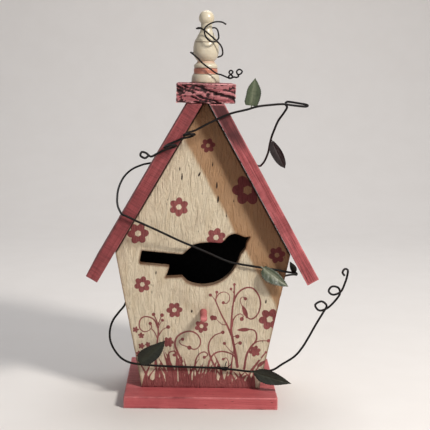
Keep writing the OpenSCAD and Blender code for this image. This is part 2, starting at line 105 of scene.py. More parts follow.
class Finish:
    """A material's node tree with short calls for the nodes that the finishes share."""

    def __init__(self, name: str) -> None:
        """Start an empty material with a principled shader.

        Args:
            name: the material's name.
        """
        self.material = bpy.data.materials.new(name)
        self.material.use_nodes = True
        self.tree = self.material.node_tree
        self.tree.nodes.clear()
        self.shader = self.node("ShaderNodeBsdfPrincipled")
        output = self.node("ShaderNodeOutputMaterial")
        self.tree.links.new(self.shader.outputs["BSDF"], output.inputs["Surface"])
        coords = self.node("ShaderNodeTexCoord")
        self.place = self.vector("SCALE", coords.outputs["Object"], scale=1000.0)

    def node(self, kind: str, **settings: object) -> bpy.types.Node:
        """Add a node and set its properties."""
        made = self.tree.nodes.new(kind)
        for key, value in settings.items():
            setattr(made, key, value)
        return made

    def put(self, socket: Socket, value: object) -> None:
        """Link a socket to another, or give it a plain value."""
        if isinstance(value, bpy.types.NodeSocket):
            self.tree.links.new(value, socket)
        else:
            socket.default_value = value

    def vector(self, operation: str, a: object, b: object = None, scale: float | None = None) -> Socket:
        """Vector arithmetic on one or two vectors."""
        made = self.node("ShaderNodeVectorMath", operation=operation)
        self.put(made.inputs[0], a)
        if b is not None:
            self.put(made.inputs[1], b)
        if scale is not None:
            made.inputs["Scale"].default_value = scale
        return made.outputs[0]

    def math(self, operation: str, a: object, b: object = 0.0) -> Socket:
        """Arithmetic on one or two numbers."""
        made = self.node("ShaderNodeMath", operation=operation)
        self.put(made.inputs[0], a)
        self.put(made.inputs[1], b)
        return made.outputs[0]

    def split(self) -> tuple[Socket, Socket, Socket]:
        """X, Y and Z of the place in millimetres."""
        made = self.node("ShaderNodeSeparateXYZ")
        self.put(made.inputs[0], self.place)
        return made.outputs[0], made.outputs[1], made.outputs[2]

    def times(self, a: object, b: object) -> Socket:
        """Product of two numbers."""
        return self.math("MULTIPLY", a, b)

    def plus(self, a: object, b: object, share: float) -> Socket:
        """A number plus a share of another."""
        return self.math("ADD", a, self.times(b, share))

    def ragged(self, value: Socket, grit: Socket, amount: float) -> Socket:
        """A value pushed up and down by noise around 0.5."""
        return self.plus(value, self.math("SUBTRACT", grit, 0.5), amount)

    def grain(self, run: Run, along: float, across: float) -> Socket:
        """Place in millimetres, turned to the grain and stretched along it.

        Args:
            run: the way the grain runs.
            along, across: how many features a millimetre has each way.

        Returns:
            The vector for a texture of scale 1.
        """
        turned = self.node("ShaderNodeVectorRotate", rotation_type="Y_AXIS")
        self.put(turned.inputs["Vector"], self.place)
        turned.inputs["Angle"].default_value = math.radians(run.value)
        return self.vector("MULTIPLY", turned.outputs[0], (along, across, across))

    def cloud(self, vector: Socket, scale: float = 1.0, detail: float = 4.0, rough: float = 0.55,
              twist: float = 0.0) -> Socket:
        """Noise around 0.5."""
        made = self.node("ShaderNodeTexNoise")
        self.put(made.inputs["Vector"], vector)
        for key, value in {"Scale": scale, "Detail": detail, "Roughness": rough, "Distortion": twist}.items():
            made.inputs[key].default_value = value
        return made.outputs["Fac"]

    def cells(self, vector: Socket) -> Socket:
        """Distance to the nearest scattered point."""
        made = self.node("ShaderNodeTexVoronoi")
        self.put(made.inputs["Vector"], vector)
        made.inputs["Scale"].default_value = 1.0
        return made.outputs["Distance"]

    def step(self, value: Socket, low: float, high: float, top: float = 1.0) -> Socket:
        """Smooth rise from 0 at low to top at high; low may lie above high."""
        made = self.node("ShaderNodeMapRange", interpolation_type="SMOOTHSTEP")
        self.put(made.inputs["Value"], value)
        flip = low > high
        made.inputs["From Min"].default_value = high if flip else low
        made.inputs["From Max"].default_value = low if flip else high
        made.inputs["To Min"].default_value = top if flip else 0.0
        made.inputs["To Max"].default_value = 0.0 if flip else top
        return made.outputs["Result"]

    def mix(self, factor: object, a: object, b: object) -> Socket:
        """Mix two colours."""
        made = self.node("ShaderNodeMix", data_type="RGBA")
        self.put(made.inputs["Factor"], factor)
        self.put(made.inputs["A"], a)
        self.put(made.inputs["B"], b)
        return made.outputs["Result"]

    def coats(self, colour: object, *layers: tuple[object, object]) -> Socket:
        """Lay coats over a colour, each given as its mask and its own colour."""
        for mask, over in layers:
            colour = self.mix(mask, colour, over)
        return colour

    def surface(self, colour: object, rough: object, specular: float = 0.5) -> None:
        """Give the shader its colour, roughness and specular level."""
        self.put(self.shader.inputs["Base Color"], colour)
        self.put(self.shader.inputs["Roughness"], rough)
        self.shader.inputs["Specular IOR Level"].default_value = specular

    def own(self, name: str) -> Socket:
        """A number stored on the mesh."""
        return self.node("ShaderNodeAttribute", attribute_name=name).outputs["Fac"]

    def relief(self, height: Socket, distance: float, strength: float = 1.0) -> None:
        """Bump from a height of 0 to 1.

        Args:
            height: the height.
            distance: what 1 stands for, in millimetres.
            strength: the bump's strength.
        """
        made = self.node("ShaderNodeBump")
        made.inputs["Strength"].default_value = strength
        made.inputs["Distance"].default_value = distance * MM
        self.put(made.inputs["Height"], height)
        self.put(self.shader.inputs["Normal"], made.outputs[0])

    def dress(self, obj: bpy.types.Object) -> None:
        """Give the finish to a piece, on every slot it has."""
        if not obj.data.materials:
            obj.data.materials.append(self.material)
        for place in obj.material_slots:
            place.material = self.material


@dataclass(frozen=True)
class WoodPaint:
    """Matt paint brushed over rough board, worn through at the edges; painted shade darkens part of the edges, the
    deepest hollows and the faces round the nest, and painted highlight lines run along the grain.
    """

    name: str
    colour: Colour
    shade: Colour
    # Lighter tone: worn paint at the edges and painted highlight streaks along the grain.
    rubbed_and_highlight: Colour
    run: Run
    bare: Colour = field(default_factory=lambda: tone(150, 112, 84))
    hollow: Colour = field(default_factory=lambda: tone(46, 20, 22))
    fibre: float = 0.30
    wear: float = 0.7
    blotch: float = 0.25
    saw: float = 0.0
    # Dark along the edges: dirt and painted shade.
    edge_grime_and_shade: float = 0.5
    # Darkening towards the ridge, between the heights given next.
    ridge_darkening: float = 0.0
    ridge_darkening_heights: tuple[float, float] = (226.0, 248.0)
    rough: float = 0.62

    def build(self) -> Finish:
        """Make the material.

        Returns:
            The finish.
        """
        f = Finish(self.name)
        fibres = f.cloud(f.grain(self.run, 0.035, 1.3), detail=6.0, rough=0.68, twist=0.25)
        streaks = f.cloud(f.grain(self.run, 0.012, 0.33), detail=3.0, rough=0.5, twist=0.4)
        patch = f.cloud(f.place, scale=0.035, detail=3.0, rough=0.6)
        fine = f.cloud(f.place, scale=1.9, detail=4.0, rough=0.7)
        marks = f.cloud(f.grain(self.run, 1.15, 0.07), detail=4.0, rough=0.7, twist=0.35)
        edge = f.ragged(f.own("edge"), fine, 3.4)
        pits = f.times(f.step(f.cells(f.grain(self.run, 0.10, 0.42)), 0.17, 0.05), f.step(patch, 0.44, 0.62))
        colour = f.coats(
            self.colour,
            (f.step(fibres, 0.60, 0.34, self.fibre * 2.2), self.shade),
            # Painted highlight: lighter streaks along the grain.
            (f.step(streaks, 0.42, 0.70, self.blotch), self.rubbed_and_highlight),
            (f.step(patch, 0.56, 0.36, self.blotch * 1.6), self.shade),
            (f.step(marks, 0.56, 0.36, self.saw), self.hollow),
            # Dark along the edges where the streaks allow: partly dirt, partly painted shade along the board edges.
            (f.times(f.step(edge, 1.9, 0.5), f.step(streaks, 0.62, 0.40, self.edge_grime_and_shade)), self.hollow))
        # Darker towards the ridge, between the given heights, where the patch noise allows.
        if self.ridge_darkening:
            _, _, height = f.split()
            near_ridge = f.times(f.step(height, *self.ridge_darkening_heights, self.ridge_darkening), f.step(patch, 0.15, 0.55))
            colour = f.mix(near_ridge, colour, self.hollow)
        colour = f.coats(
            colour,
            (f.times(f.step(edge, 1.7, 0.1), f.step(patch, 0.30, 0.62, self.wear)), self.rubbed_and_highlight),
            (f.times(f.step(edge, 0.55, -0.5), f.step(streaks, 0.50, 0.62, self.wear)), self.bare),
            (pits, self.hollow),
            # Dark in the deepest hollows: partly dark nicks in the paint, partly painted shade in the deep splits and
            # chips.
            (f.step(f.own("sunk"), 0.25, 0.9, 0.92), self.hollow),
            # Painted shade: faces round the nest cavity turn near-black.
            (f.own("cavity"), NEST_SHADE))
        f.surface(colour, f.math("ADD", f.step(fine, 0.3, 0.7, 0.18), self.rough), 0.32)
        lift = f.plus(f.plus(f.times(fibres, 0.8), fine, 0.25), marks, self.saw * 2.4)
        f.relief(f.math("SUBTRACT", lift, f.times(pits, 0.5)), 0.45, 0.8)
        return f


@dataclass(frozen=True)
class PanelPaint:
    """Cream paint over weathered wood, with a painted shadow line where the roof boards meet it; the printed panel adds
    a print, cracks and a painted amber shadow band, darker next to the board, along its right roof board.
    """

    name: str = "cream_panel"
    cream: Colour = field(default_factory=lambda: tone(220, 205, 179))
    warm: Colour = field(default_factory=lambda: tone(184, 160, 126))
    amber: Colour = field(default_factory=lambda: tone(158, 112, 70))
    brown: Colour = field(default_factory=lambda: tone(118, 74, 44))
    # Crack colour, also used for the painted shadow line beneath the roof boards and for the deep hollows.
    crack: Colour = field(default_factory=lambda: tone(58, 40, 30))
    ink: Colour = field(default_factory=lambda: tone(118, 38, 46))
    pale_ink: Colour = field(default_factory=lambda: tone(144, 66, 69))
    shadowed_ink: Colour = field(default_factory=lambda: tone(92, 28, 34))
    printed: bool = True
    roof_normal: tuple[float, float] = (0.869, 0.494)
    roof_reach: float = 138.5

    def below_roof(self, f: Finish, across: Socket, height: Socket) -> Socket:
        """Distance in millimetres below the underside of the roof board on the +X side."""
        side, up = self.roof_normal
        return f.math("SUBTRACT", f.math("SUBTRACT", self.roof_reach, f.times(across, side)), f.times(height, up))

    def build(self) -> Finish:
        """Make the material.

        Returns:
            The finish.
        """
        f = Finish(self.name)
        width, _, height = f.split()
        fibres = f.cloud(f.grain(Run.UPRIGHT, 0.15, 0.80), detail=6.0, rough=0.70, twist=0.8)
        streaks = f.cloud(f.grain(Run.UPRIGHT, 0.045, 0.22), detail=4.0, rough=0.6, twist=0.9)
        patch = f.cloud(f.place, scale=0.03, detail=4.0, rough=0.6)
        fine = f.cloud(f.place, scale=1.6, detail=5.0, rough=0.7)
        crumb = f.cloud(f.grain(Run.UPRIGHT, 0.55, 0.80), detail=6.0, rough=0.78, twist=0.8)
        colour = f.coats(
            self.cream,
            (f.step(fibres, 0.54, 0.30, 0.26), self.warm),
            (f.step(streaks, 0.55, 0.33, 0.35), self.warm),
            (f.step(crumb, 0.44, 0.28, 0.55), self.brown),
            (f.step(crumb, 0.60, 0.74, 0.40), tone(232, 224, 202)),
            (f.step(patch, 0.50, 0.30, 0.22), self.brown))
        if self.printed:
            # Painted shadow of the right roof board: an amber band with a darker brown strip next to the board.
            band = f.ragged(self.below_roof(f, width, height), patch, 5.0)
            roof_shadow = f.step(band, 37.0, 32.5, 0.82)
            colour = f.coats(colour, (roof_shadow, self.amber), (f.step(band, 20.0, 15.0, 0.5), self.brown))
        colour = f.mix(f.step(f.ragged(f.own("edge"), fine, 4.0), 2.4, 0.0, 0.75), colour, self.brown)
        slit = f.cells(f.grain(Run.UPRIGHT, 0.055, 0.40))
        cracks = f.times(f.step(slit, 0.105, 0.05), f.step(streaks, 0.50, 0.60))
        if self.printed:
            soft = f.ragged(f.own("print"), fine, 0.7)
            lifted = f.times(f.step(fibres, 0.62, 0.72, 0.75), f.step(fine, 0.40, 0.60))
            # The ink darkens inside the painted roof shadow.
            ink = f.coats(self.ink, (f.step(f.plus(patch, fibres, 0.5), 0.60, 0.90), self.pale_ink),
                          (roof_shadow, self.shadowed_ink))
            colour = f.mix(f.times(f.step(soft, 0.22, -0.18, 0.94), f.math("SUBTRACT", 1.0, lifted)), colour, ink)
            gap = f.ragged(f.own("crack"), fine, 0.9)
            cracks = f.math("MAXIMUM", cracks, f.step(gap, 0.2, -0.2))
        # Painted shadow line beneath the roof boards where they meet the cream boards, drawn in the crack colour.
        shadow_line_gap = self.below_roof(f, f.math("ABSOLUTE", width), height)
        cracks = f.math("MAXIMUM", cracks, f.step(shadow_line_gap, 1.9, 0.9))
        colour = f.coats(
            colour,
            (cracks, self.crack),
            # Dark in the deepest nicks and ridges, in the crack colour: partly worn nicks, partly painted shade.
            (f.step(f.own("sunk"), 0.35, 1.0, 0.9), self.crack),
            (f.own("rim"), tone(120, 84, 56)),
            # Painted shade: faces round the nest cavity turn near-black.
            (f.own("cavity"), NEST_SHADE))
        f.surface(colour, f.math("ADD", f.step(fine, 0.3, 0.7, 0.2), 0.58), 0.3)
        ridges = f.cloud(f.grain(Run.UPRIGHT, 0.07, 0.34), detail=3.0, rough=0.55, twist=1.6)
        lift = f.plus(f.plus(f.plus(f.times(fibres, 0.7), fine, 0.3), crumb, 1.1), ridges, 2.4)
        f.relief(f.math("SUBTRACT", lift, f.times(cracks, 0.9)), 1.0, 1.2)
        return f


@dataclass(frozen=True)
class TurnedWood:
    """Pale varnished hardwood off the lathe, with stained rings and painted shade in the grooves between its turned
    parts.
    """

    name: str = "turned_wood"
    pale: Colour = field(default_factory=lambda: tone(198, 188, 166))
    grainy: Colour = field(default_factory=lambda: tone(196, 176, 142))
    stain: Colour = field(default_factory=lambda: tone(186, 104, 80))
    # Dark brown of the painted shade in the grooves.
    groove: Colour = field(default_factory=lambda: tone(84, 50, 36))
    rings: tuple[tuple[float, float, float], ...] = ((10.8, 2.6, 0.85), (19.0, 1.0, 0.35))
    joints: tuple[float, ...] = (7.9, 13.4, 37.3)

    def build(self) -> Finish:
        """Make the material.

        Returns:
            The finish.
        """
        f = Finish(self.name)
        _, _, height = f.split()
        fibres = f.cloud(f.grain(Run.UPRIGHT, 0.05, 0.9), detail=5.0, rough=0.6, twist=0.4)
        turned = f.cloud(f.vector("MULTIPLY", f.place, (0.05, 0.05, 2.6)), detail=3.0, rough=0.6)
        patch = f.cloud(f.place, scale=0.08, detail=3.0)
        colour = f.coats(self.pale, (f.step(fibres, 0.46, 0.74, 0.55), self.grainy),
                         (f.step(patch, 0.5, 0.3, 0.4), self.grainy))
        for centre, half, weight in self.rings:
            off = f.math("ABSOLUTE", f.math("SUBTRACT", height, FINIAL_FOOT + centre))
            colour = f.mix(f.step(f.plus(off, fibres, 0.6), half + 0.9, half - 0.2, weight), colour, self.stain)
        # Painted shade in the grooves between the turned parts.
        for centre in self.joints:
            off = f.math("ABSOLUTE", f.math("SUBTRACT", height, FINIAL_FOOT + centre))
            colour = f.mix(f.step(f.plus(off, patch, 0.5), 0.85, 0.3, 0.8), colour, self.groove)
        f.surface(colour, f.math("ADD", f.step(fibres, 0.3, 0.7, 0.15), 0.30))
        f.shader.inputs["Coat Weight"].default_value = 0.3
        f.shader.inputs["Coat Roughness"].default_value = 0.2
        f.relief(f.plus(f.times(fibres, 0.4), turned, 0.6), 0.12, 0.6)
        return f


@dataclass(frozen=True)
class Metal:
    """Plain or weathered metal with scratches and stains."""

    name: str
    colour: Colour
    stain: Colour
    metallic: float = 1.0
    rough: float = 0.32
    spread: float = 0.4
    scale: float = 0.35
    shine: float = 0.5

    def build(self) -> Finish:
        """Make the material.

        Returns:
            The finish.
        """
        f = Finish(self.name)
        patch = f.cloud(f.place, scale=self.scale, detail=5.0, rough=0.65)
        fine = f.cloud(f.place, scale=3.0, detail=3.0, rough=0.6)
        f.surface(f.mix(f.step(patch, 0.45, 0.65, self.spread), self.colour, self.stain),
                  f.math("ADD", f.step(patch, 0.4, 0.7, 0.25), self.rough), self.shine)
        f.shader.inputs["Metallic"].default_value = self.metallic
        f.relief(fine, 0.06, 0.5)
        return f


@dataclass(frozen=True)
class TinLeaf:
    """Painted tin leaf: a pale middle, dark edge and side veins."""

    name: str
    body: Colour
    middle: Colour
    rim: Colour
    gloss: float = 0.35

    def build(self) -> Finish:
        """Make the material.

        Returns:
            The finish.
        """
        f = Finish(self.name)
        mottle = f.cloud(f.place, scale=0.45, detail=5.0, rough=0.65, twist=0.6)
        fine = f.cloud(f.place, scale=2.4, detail=3.0)
        off = f.own("off_middle")
        colour = f.coats(
            self.body,
            (f.step(f.plus(off, mottle, 0.5), 0.75, 0.28, 0.85), self.middle),
            (f.step(f.plus(off, mottle, 0.35), 0.90, 1.15, 0.8), self.rim),
            (f.step(mottle, 0.52, 0.70, 0.45), self.rim),
            (f.step(f.own("vein"), 0.35, 0.9, 0.5), self.middle))
        f.surface(colour, f.math("ADD", f.step(mottle, 0.3, 0.7, 0.2), self.gloss), 0.4)
        f.relief(f.plus(f.times(mottle, 0.6), fine, 0.4), 0.15, 0.6)
        return f


# --- Mesh building -----------------------------------------------------------------------------


def between(a: object, b: object, c: object, d: object, t: float) -> object:
    """Point or number at a share t of the way from b to c, on a smooth curve through all four."""
    return 0.5 * (2 * b + (c - a) * t + (2 * a - 5 * b + 4 * c - d) * t * t + (3 * b - a - 3 * c + d) * t ** 3)


def smooth_route(points: Sequence[Sequence[float]], step: float) -> list[Vector]:
    """Run an even, smooth route through points.

    Args:
        points: the points, in millimetres.
        step: the spacing along the route.

    Returns:
        The route's points, in metres.
    """
    pts = [Vector(p) for p in points]
    route: list[Vector] = []
    for i in range(len(pts) - 1):
        a, b, c, d = pts[max(i - 1, 0)], pts[i], pts[i + 1], pts[min(i + 2, len(pts) - 1)]
        count = max(1, math.ceil((c - b).length / step))
        route += [between(a, b, c, d, k / count) * MM for k in range(count)]
    return route + [pts[-1] * MM]


def new_object(name: str, data: bpy.types.ID) -> bpy.types.Object:
    """Put data in the scene as an object."""
    obj = bpy.data.objects.new(name, data)
    bpy.context.scene.collection.objects.link(obj)
    return obj


def settle(piece: bpy.types.Object, node: str, finish: Finish, body: str = "house") -> None:
    """Dress a piece, let it ride on a body and put it in its CAD node's place.

    Args:
        piece: the piece.
        node: the CAD node that it replaces.
        finish: its finish.
        body: the body that it rides on.
    """
    finish.dress(piece)
    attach(piece, body)
    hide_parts(node)
    LOG.info("%s: %d faces", piece.name, len(piece.data.polygons))


def new_piece(name: str, node: str, mesh: bmesh.types.BMesh, finish: Finish, smooth: float,
              body: str = "house") -> bpy.types.Object:
    """Make a piece from a finished mesh.

    Args:
        name: the piece's name.
        node: the CAD node that it replaces.
        mesh: the mesh, which is freed.
        finish: its finish.
        smooth: edges sharper than this, in degrees, stay sharp.
        body: the body that it rides on.

    Returns:
        The piece.
    """
    data = bpy.data.meshes.new(name)
    mesh.to_mesh(data)
    mesh.free()
    data.shade_smooth()
    data.set_sharp_from_angle(angle=math.radians(smooth))
    piece = new_object(name, data)
    settle(piece, node, finish, body)
    return piece


def tubes(name: str, routes: Iterable[Sequence[Vector]], radius: float, sides: int = 3) -> bpy.types.Object:
    """Round bars along routes, as one mesh.

    Args:
        name: the piece's name.
        routes: each bar's points, in metres.
        radius: the bars' radius in millimetres.
        sides: the curve's bevel resolution.

    Returns:
        The piece, which rides on nothing yet.
    """
    curve = bpy.data.curves.new(name + "_line", "CURVE")
    curve.dimensions, curve.twist_mode = "3D", "MINIMUM"
    curve.bevel_depth, curve.bevel_resolution, curve.use_fill_caps = radius * MM, sides, True
    for route in routes:
        spline = curve.splines.new("POLY")
        spline.points.add(len(route) - 1)
        for point, place in zip(spline.points, route):
            point.co = (*place, 1.0)
    line = new_object(name + "_line", curve)
    bpy.context.view_layer.update()
    data = bpy.data.meshes.new_from_object(line.evaluated_get(bpy.context.evaluated_depsgraph_get()))
    bpy.data.objects.remove(line)
    bpy.data.curves.remove(curve)
    data.name = name
    data.materials.clear()
    data.shade_smooth()
    return new_object(name, data)


def turned(profile: Sequence[tuple[float, float]], steps: int = 96) -> bmesh.types.BMesh:
    """Spin a profile about the Z axis.

    Args:
        profile: radius and height of each point, in millimetres, from the lower end to the upper.
        steps: faces round the axis.

    Returns:
        A closed mesh in metres.
    """
    mesh = bmesh.new()
    verts = [mesh.verts.new((r * MM, 0, z * MM)) for r, z in profile]
    edges = [mesh.edges.new(pair) for pair in zip(verts, verts[1:])]
    bmesh.ops.spin(mesh, geom=verts + edges, axis=(0, 0, 1), cent=(0, 0, 0), angle=math.tau, steps=steps,
                   use_merge=True)
    bmesh.ops.remove_doubles(mesh, verts=mesh.verts, dist=1e-6)
    bmesh.ops.recalc_face_normals(mesh, faces=mesh.faces)
    return mesh


def round_over(mesh: bmesh.types.BMesh, width: float, segments: int = 2, sharp: float = 30.0,
               longest_skipped: float = 0.8) -> None:
    """Bevel the sharp edges, leaving the short edges of small holes.

    Args:
        mesh: the mesh.
        width: the bevel's width in millimetres.
        segments: the bevel's segments.
        sharp: the angle in degrees from which an edge counts as sharp.
        longest_skipped: edges up to this long, in millimetres, are left.
    """
    edges = [e for e in mesh.edges if len(e.link_faces) == 2 and e.calc_length() > longest_skipped * MM
             and e.calc_face_angle(0.0) > math.radians(sharp)]
    if edges:
        bmesh.ops.bevel(mesh, geom=edges, offset=width * MM, offset_type="OFFSET", segments=segments,
                        profile=0.5, affect="EDGES", clamp_overlap=True, material=-1)
        bmesh.ops.dissolve_degenerate(mesh, dist=2e-6, edges=mesh.edges[:])


def from_node(node: str) -> bmesh.types.BMesh:
    """A merged copy of a CAD node's mesh, with its flat faces whole again."""
    mesh = bmesh.new()
    mesh.from_mesh(bpy.data.objects[NODES[node].name].data)
    bmesh.ops.remove_doubles(mesh, verts=mesh.verts, dist=1e-6)
    bmesh.ops.dissolve_limit(mesh, angle_limit=math.radians(0.5), verts=mesh.verts, edges=mesh.edges)
    return mesh


def verts_of(parts: Iterable[object]) -> list[bmesh.types.BMVert]:
    """The vertices among the parts that a mesh operation gives back."""
    return [part for part in parts if isinstance(part, bmesh.types.BMVert)]


def cut_through(mesh: bmesh.types.BMesh, place: Sequence[float], way: Vector, merge: float = 1e-7) -> None:
    """Cut a whole mesh by a plane through a place, in metres."""
    bmesh.ops.bisect_plane(mesh, geom=mesh.verts[:] + mesh.edges[:] + mesh.faces[:], dist=merge, plane_co=place,
                           plane_no=way)


def lay_along_y(mesh: bmesh.types.BMesh, place: Sequence[float]) -> None:
    """Turn a mesh made along +Z to lie along +Y, with its foot at a place in millimetres."""
    turn = Matrix.Rotation(math.radians(-90), 4, "X")
    bmesh.ops.transform(mesh, matrix=Matrix.Translation(Vector(place) * MM) @ turn, verts=mesh.verts)


def slice_evenly(mesh: bmesh.types.BMesh, faces: list[bmesh.types.BMFace], way: Vector, low: float, high: float,
                 count: int) -> list[bmesh.types.BMFace]:
    """Cut faces into even slices, halving the stretch each time so that each cut meets few faces.

    Args:
        mesh: the mesh.
        faces: the faces to cut.
        way: the planes' normal.
        low, high: the stretch along the normal, in metres.
        count: the number of slices.

    Returns:
        The faces after the cuts.
    """
    if count < 2 or not faces:
        return faces
    share = count // 2
    middle = low + (high - low) * share / count
    parts = set(faces)
    for face in faces:
        parts.update(face.edges)
        parts.update(face.verts)
    cut = bmesh.ops.bisect_plane(mesh, geom=list(parts), dist=1e-7, plane_co=way * middle, plane_no=way)
    below, above = [], []
    for piece in cut["geom"]:
        if isinstance(piece, bmesh.types.BMFace):
            (below if piece.calc_center_median().dot(way) < middle else above).append(piece)
    return (slice_evenly(mesh, below, way, low, middle, share)
            + slice_evenly(mesh, above, way, middle, high, count - share))


def grid_faces(mesh: bmesh.types.BMesh, faces: list[bmesh.types.BMFace], ways: Sequence[tuple[Vector, float]]
               ) -> None:
    """Cut faces by a grid of planes.

    Args:
        mesh: the mesh.
        faces: the faces to cut.
        ways: each direction with its spacing in millimetres.
    """
    for way, step in ways:
        spots = [v.co.dot(way) for f in faces for v in f.verts]
        low, high = min(spots), max(spots)
        faces = slice_evenly(mesh, faces, way, low, high, math.ceil((high - low) / (step * MM)))


def corner_lines(mesh: bmesh.types.BMesh) -> np.ndarray:
    """Ends of the long sharp edges, in millimetres, as an array of pairs."""
    found = [[list(v.co / MM) for v in e.verts] for e in mesh.edges
             if len(e.link_faces) == 2 and e.calc_length() > 0.9 * MM and e.calc_face_angle(0.0) > math.radians(30)]
    return np.array(found, float).reshape(-1, 2, 3)


def gap_to_lines(points: np.ndarray, lines: np.ndarray, widest: float = 8.0) -> np.ndarray:
    """Distance from each point to the nearest line, in millimetres, up to a widest value."""
    best = np.full(len(points), widest)
    for start, end in lines:
        run = end - start
        share = np.clip(((points - start) @ run) / max(run @ run, 1e-9), 0, 1)
        best = np.minimum(best, np.linalg.norm(points - start - share[:, None] * run, axis=1))
    return best


def store(data: bpy.types.Mesh, name: str, values: Sequence[float], domain: str = "POINT") -> None:
    """Keep a number on each vertex or face."""
    made = data.attributes.get(name) or data.attributes.new(name, "FLOAT", domain)
    made.data.foreach_set("value", np.asarray(values, np.float32))


def swell(spot: tuple[float, float, float], along: float, across: float, seed: float = 0.0) -> float:
    """Noise of about -1 to 1, stretched along the grain.

    Args:
        spot: the point's place along the grain, through the board and across the grain, in millimetres.
        along, across: features a millimetre each way.
        seed: moves the pattern.

    Returns:
        The noise.
    """
    return noise.noise(Vector((spot[0] * along, spot[1] * across + seed, spot[2] * across)))


# --- Body of the house -------------------------------------------------------------------------


@dataclass
class Shell:
    """The sizes that the boards share, and the nest cavity they close."""

    floor: float = 11.0
    floor_half: float = 42.76
    lean: float = math.tan(math.radians(11.3))
    ridge: float = 275.3
    rise: float = 1.7603
    front: float = -24.5
    back: float = 35.5

    def holds(self, centre: Vector, normal: Vector) -> bool:
        """Whether a face bounds the nest cavity."""
        x, y, z = centre / MM
        reach = 0.6
        level = self.floor_half + (z - self.floor) * self.lean + reach
        roof = 3.0 + (self.ridge - z) / self.rise + reach
        middle = Vector((0, 5.5, 110)) * MM
        return (self.front - reach < y < self.back + reach and abs(x) < min(level, roof)
                and z > self.floor - reach and normal.dot(middle - centre) > 0)


@dataclass
class Board:
    """A sawn board made from its CAD node: eased edges, sawn relief, nicks and wear."""

    node: str
    name: str
    run: Run
    slot: str
    body: str = "house"
    grid: float = 2.0
    easing: float = 0.5
    relief: float = 0.18
    ripple: tuple[float, float] = (0.03, 0.55)
    nick: float = 0.7
    seed: float = 0.0
    dark_at: float = 1.2
    shell: Shell = field(default_factory=Shell)

    def cut(self, mesh: bmesh.types.BMesh) -> None:
        """Give the board enough vertices for its relief."""
        for level in (self.shell.front, self.shell.back):
            cut_through(mesh, (0, level * MM, 0), THROUGH)
        grid_faces(mesh, mesh.faces[:], ((self.run.along, self.grid * 1.4), (self.run.across, self.grid),
                                         (THROUGH, self.grid)))

    def hollow(self, place: Vector, spot: tuple[float, float, float], edge: float) -> float:
        """How far the surface is worn in at a point, in millimetres.

        Args:
            place: the point in millimetres.
            spot: the same point along, through and across the grain.
            edge: its distance from the nearest sawn edge.

        Returns:
            The depth.
        """
        saw = 0.5 + 0.5 * swell(spot, *self.ripple, self.seed)
        fine = 0.5 + 0.5 * swell(spot, 0.25, 1.1, self.seed + 9)
        bite = max(0.0, swell(spot, 0.10, 0.16, self.seed + 31) - 0.28) / 0.4 if edge < 2.2 else 0.0
        return self.relief * (saw + 0.4 * fine) + self.nick * bite * max(0.0, 1 - edge / 2.2)

    def extra(self, data: bpy.types.Mesh, places: np.ndarray) -> None:
        """Store what else the finish reads; a plain board has nothing more."""

    def build(self, finish: Finish) -> bpy.types.Object:
        """Make the board.

        Args:
            finish: its finish.

        Returns:
            The piece.
        """
        mesh = from_node(self.node)
        lines = corner_lines(mesh)
        round_over(mesh, self.easing)
        bmesh.ops.triangulate(mesh, faces=[f for f in mesh.faces if len(f.verts) > 4])
        self.cut(mesh)
        mesh.normal_update()
        mesh.verts.index_update()
        places = np.array([v.co for v in mesh.verts], float) / MM
        edges = gap_to_lines(places, lines)
        spots = places @ np.array([self.run.along, (0, 1, 0), self.run.across], float).T
        depths = [self.hollow(p, tuple(q), e) for p, q, e in zip(places, spots, edges)]
        for vert, depth in zip(mesh.verts, depths):
            vert.co -= vert.normal * (depth * MM)
        mesh.normal_update()
        cavity = [1.0 if self.shell.holds(f.calc_center_median(), f.normal) else 0.0 for f in mesh.faces]
        piece = new_piece(self.name, self.node, mesh, finish, 50, self.body)
        store(piece.data, "edge", edges)
        # How deep each point lies past the sawn relief, for the dark nicks and painted shade in the finish.
        store(piece.data, "sunk", np.clip((np.array(depths) - self.relief * 1.2) / self.dark_at, 0, 1))
        store(piece.data, "cavity", cavity, "FACE")
        self.extra(piece.data, places)
        return piece


# --- Printed garden ----------------------------------------------------------------------------


@dataclass(frozen=True)
class Flower:
    """A stencilled flower of round petals with an open middle."""

    x: float
    z: float
    radius: float
    turn: float = 0.0
    petals: int = 6
    open_middle: bool = True

    def gap(self, x: np.ndarray, z: np.ndarray) -> np.ndarray:
        """Distance to the flower's outline in millimetres, negative inside."""
        dx, dz = x - self.x, z - self.z
        away, sector = np.hypot(dx, dz), math.tau / self.petals
        turn = np.mod(np.arctan2(dz, dx) - math.radians(self.turn) + sector / 2, sector) - sector / 2
        along, aside = (away * np.cos(turn) - 0.63 * self.radius) * 0.94, away * np.sin(turn) * 1.08
        petal = np.hypot(along, aside) - 0.36 * self.radius
        if self.open_middle:
            return np.maximum(petal, 0.27 * self.radius - away)
        return np.minimum(petal, away - 0.4 * self.radius)


@dataclass(frozen=True)
class Stem:
    """A brushed stroke through points, thick at its start, with a bud at its end."""

    points: tuple[tuple[float, float], ...]
    start: float = 1.0
    end: float = 0.7
    bud: float = 0.0

    def gap(self, x: np.ndarray, z: np.ndarray) -> np.ndarray:
        """Distance to the stroke's outline in millimetres, negative inside."""
        route = [p / MM for p in smooth_route([(px, 0, pz) for px, pz in self.points], 2.0)]
        best = np.full(len(x), 9.0)
        for k, (a, b) in enumerate(zip(route, route[1:])):
            rx, rz = b.x - a.x, b.z - a.z
            share = np.clip(((x - a.x) * rx + (z - a.z) * rz) / max(rx * rx + rz * rz, 1e-9), 0, 1)
            wide = self.start + (self.end - self.start) * (k + share) / (len(route) - 1)
            best = np.minimum(best, np.hypot(x - a.x - share * rx, z - a.z - share * rz) - wide / 2)
        if self.bud:
            best = np.minimum(best, np.hypot(x - route[-1].x, z - route[-1].z) - self.bud)
        return best


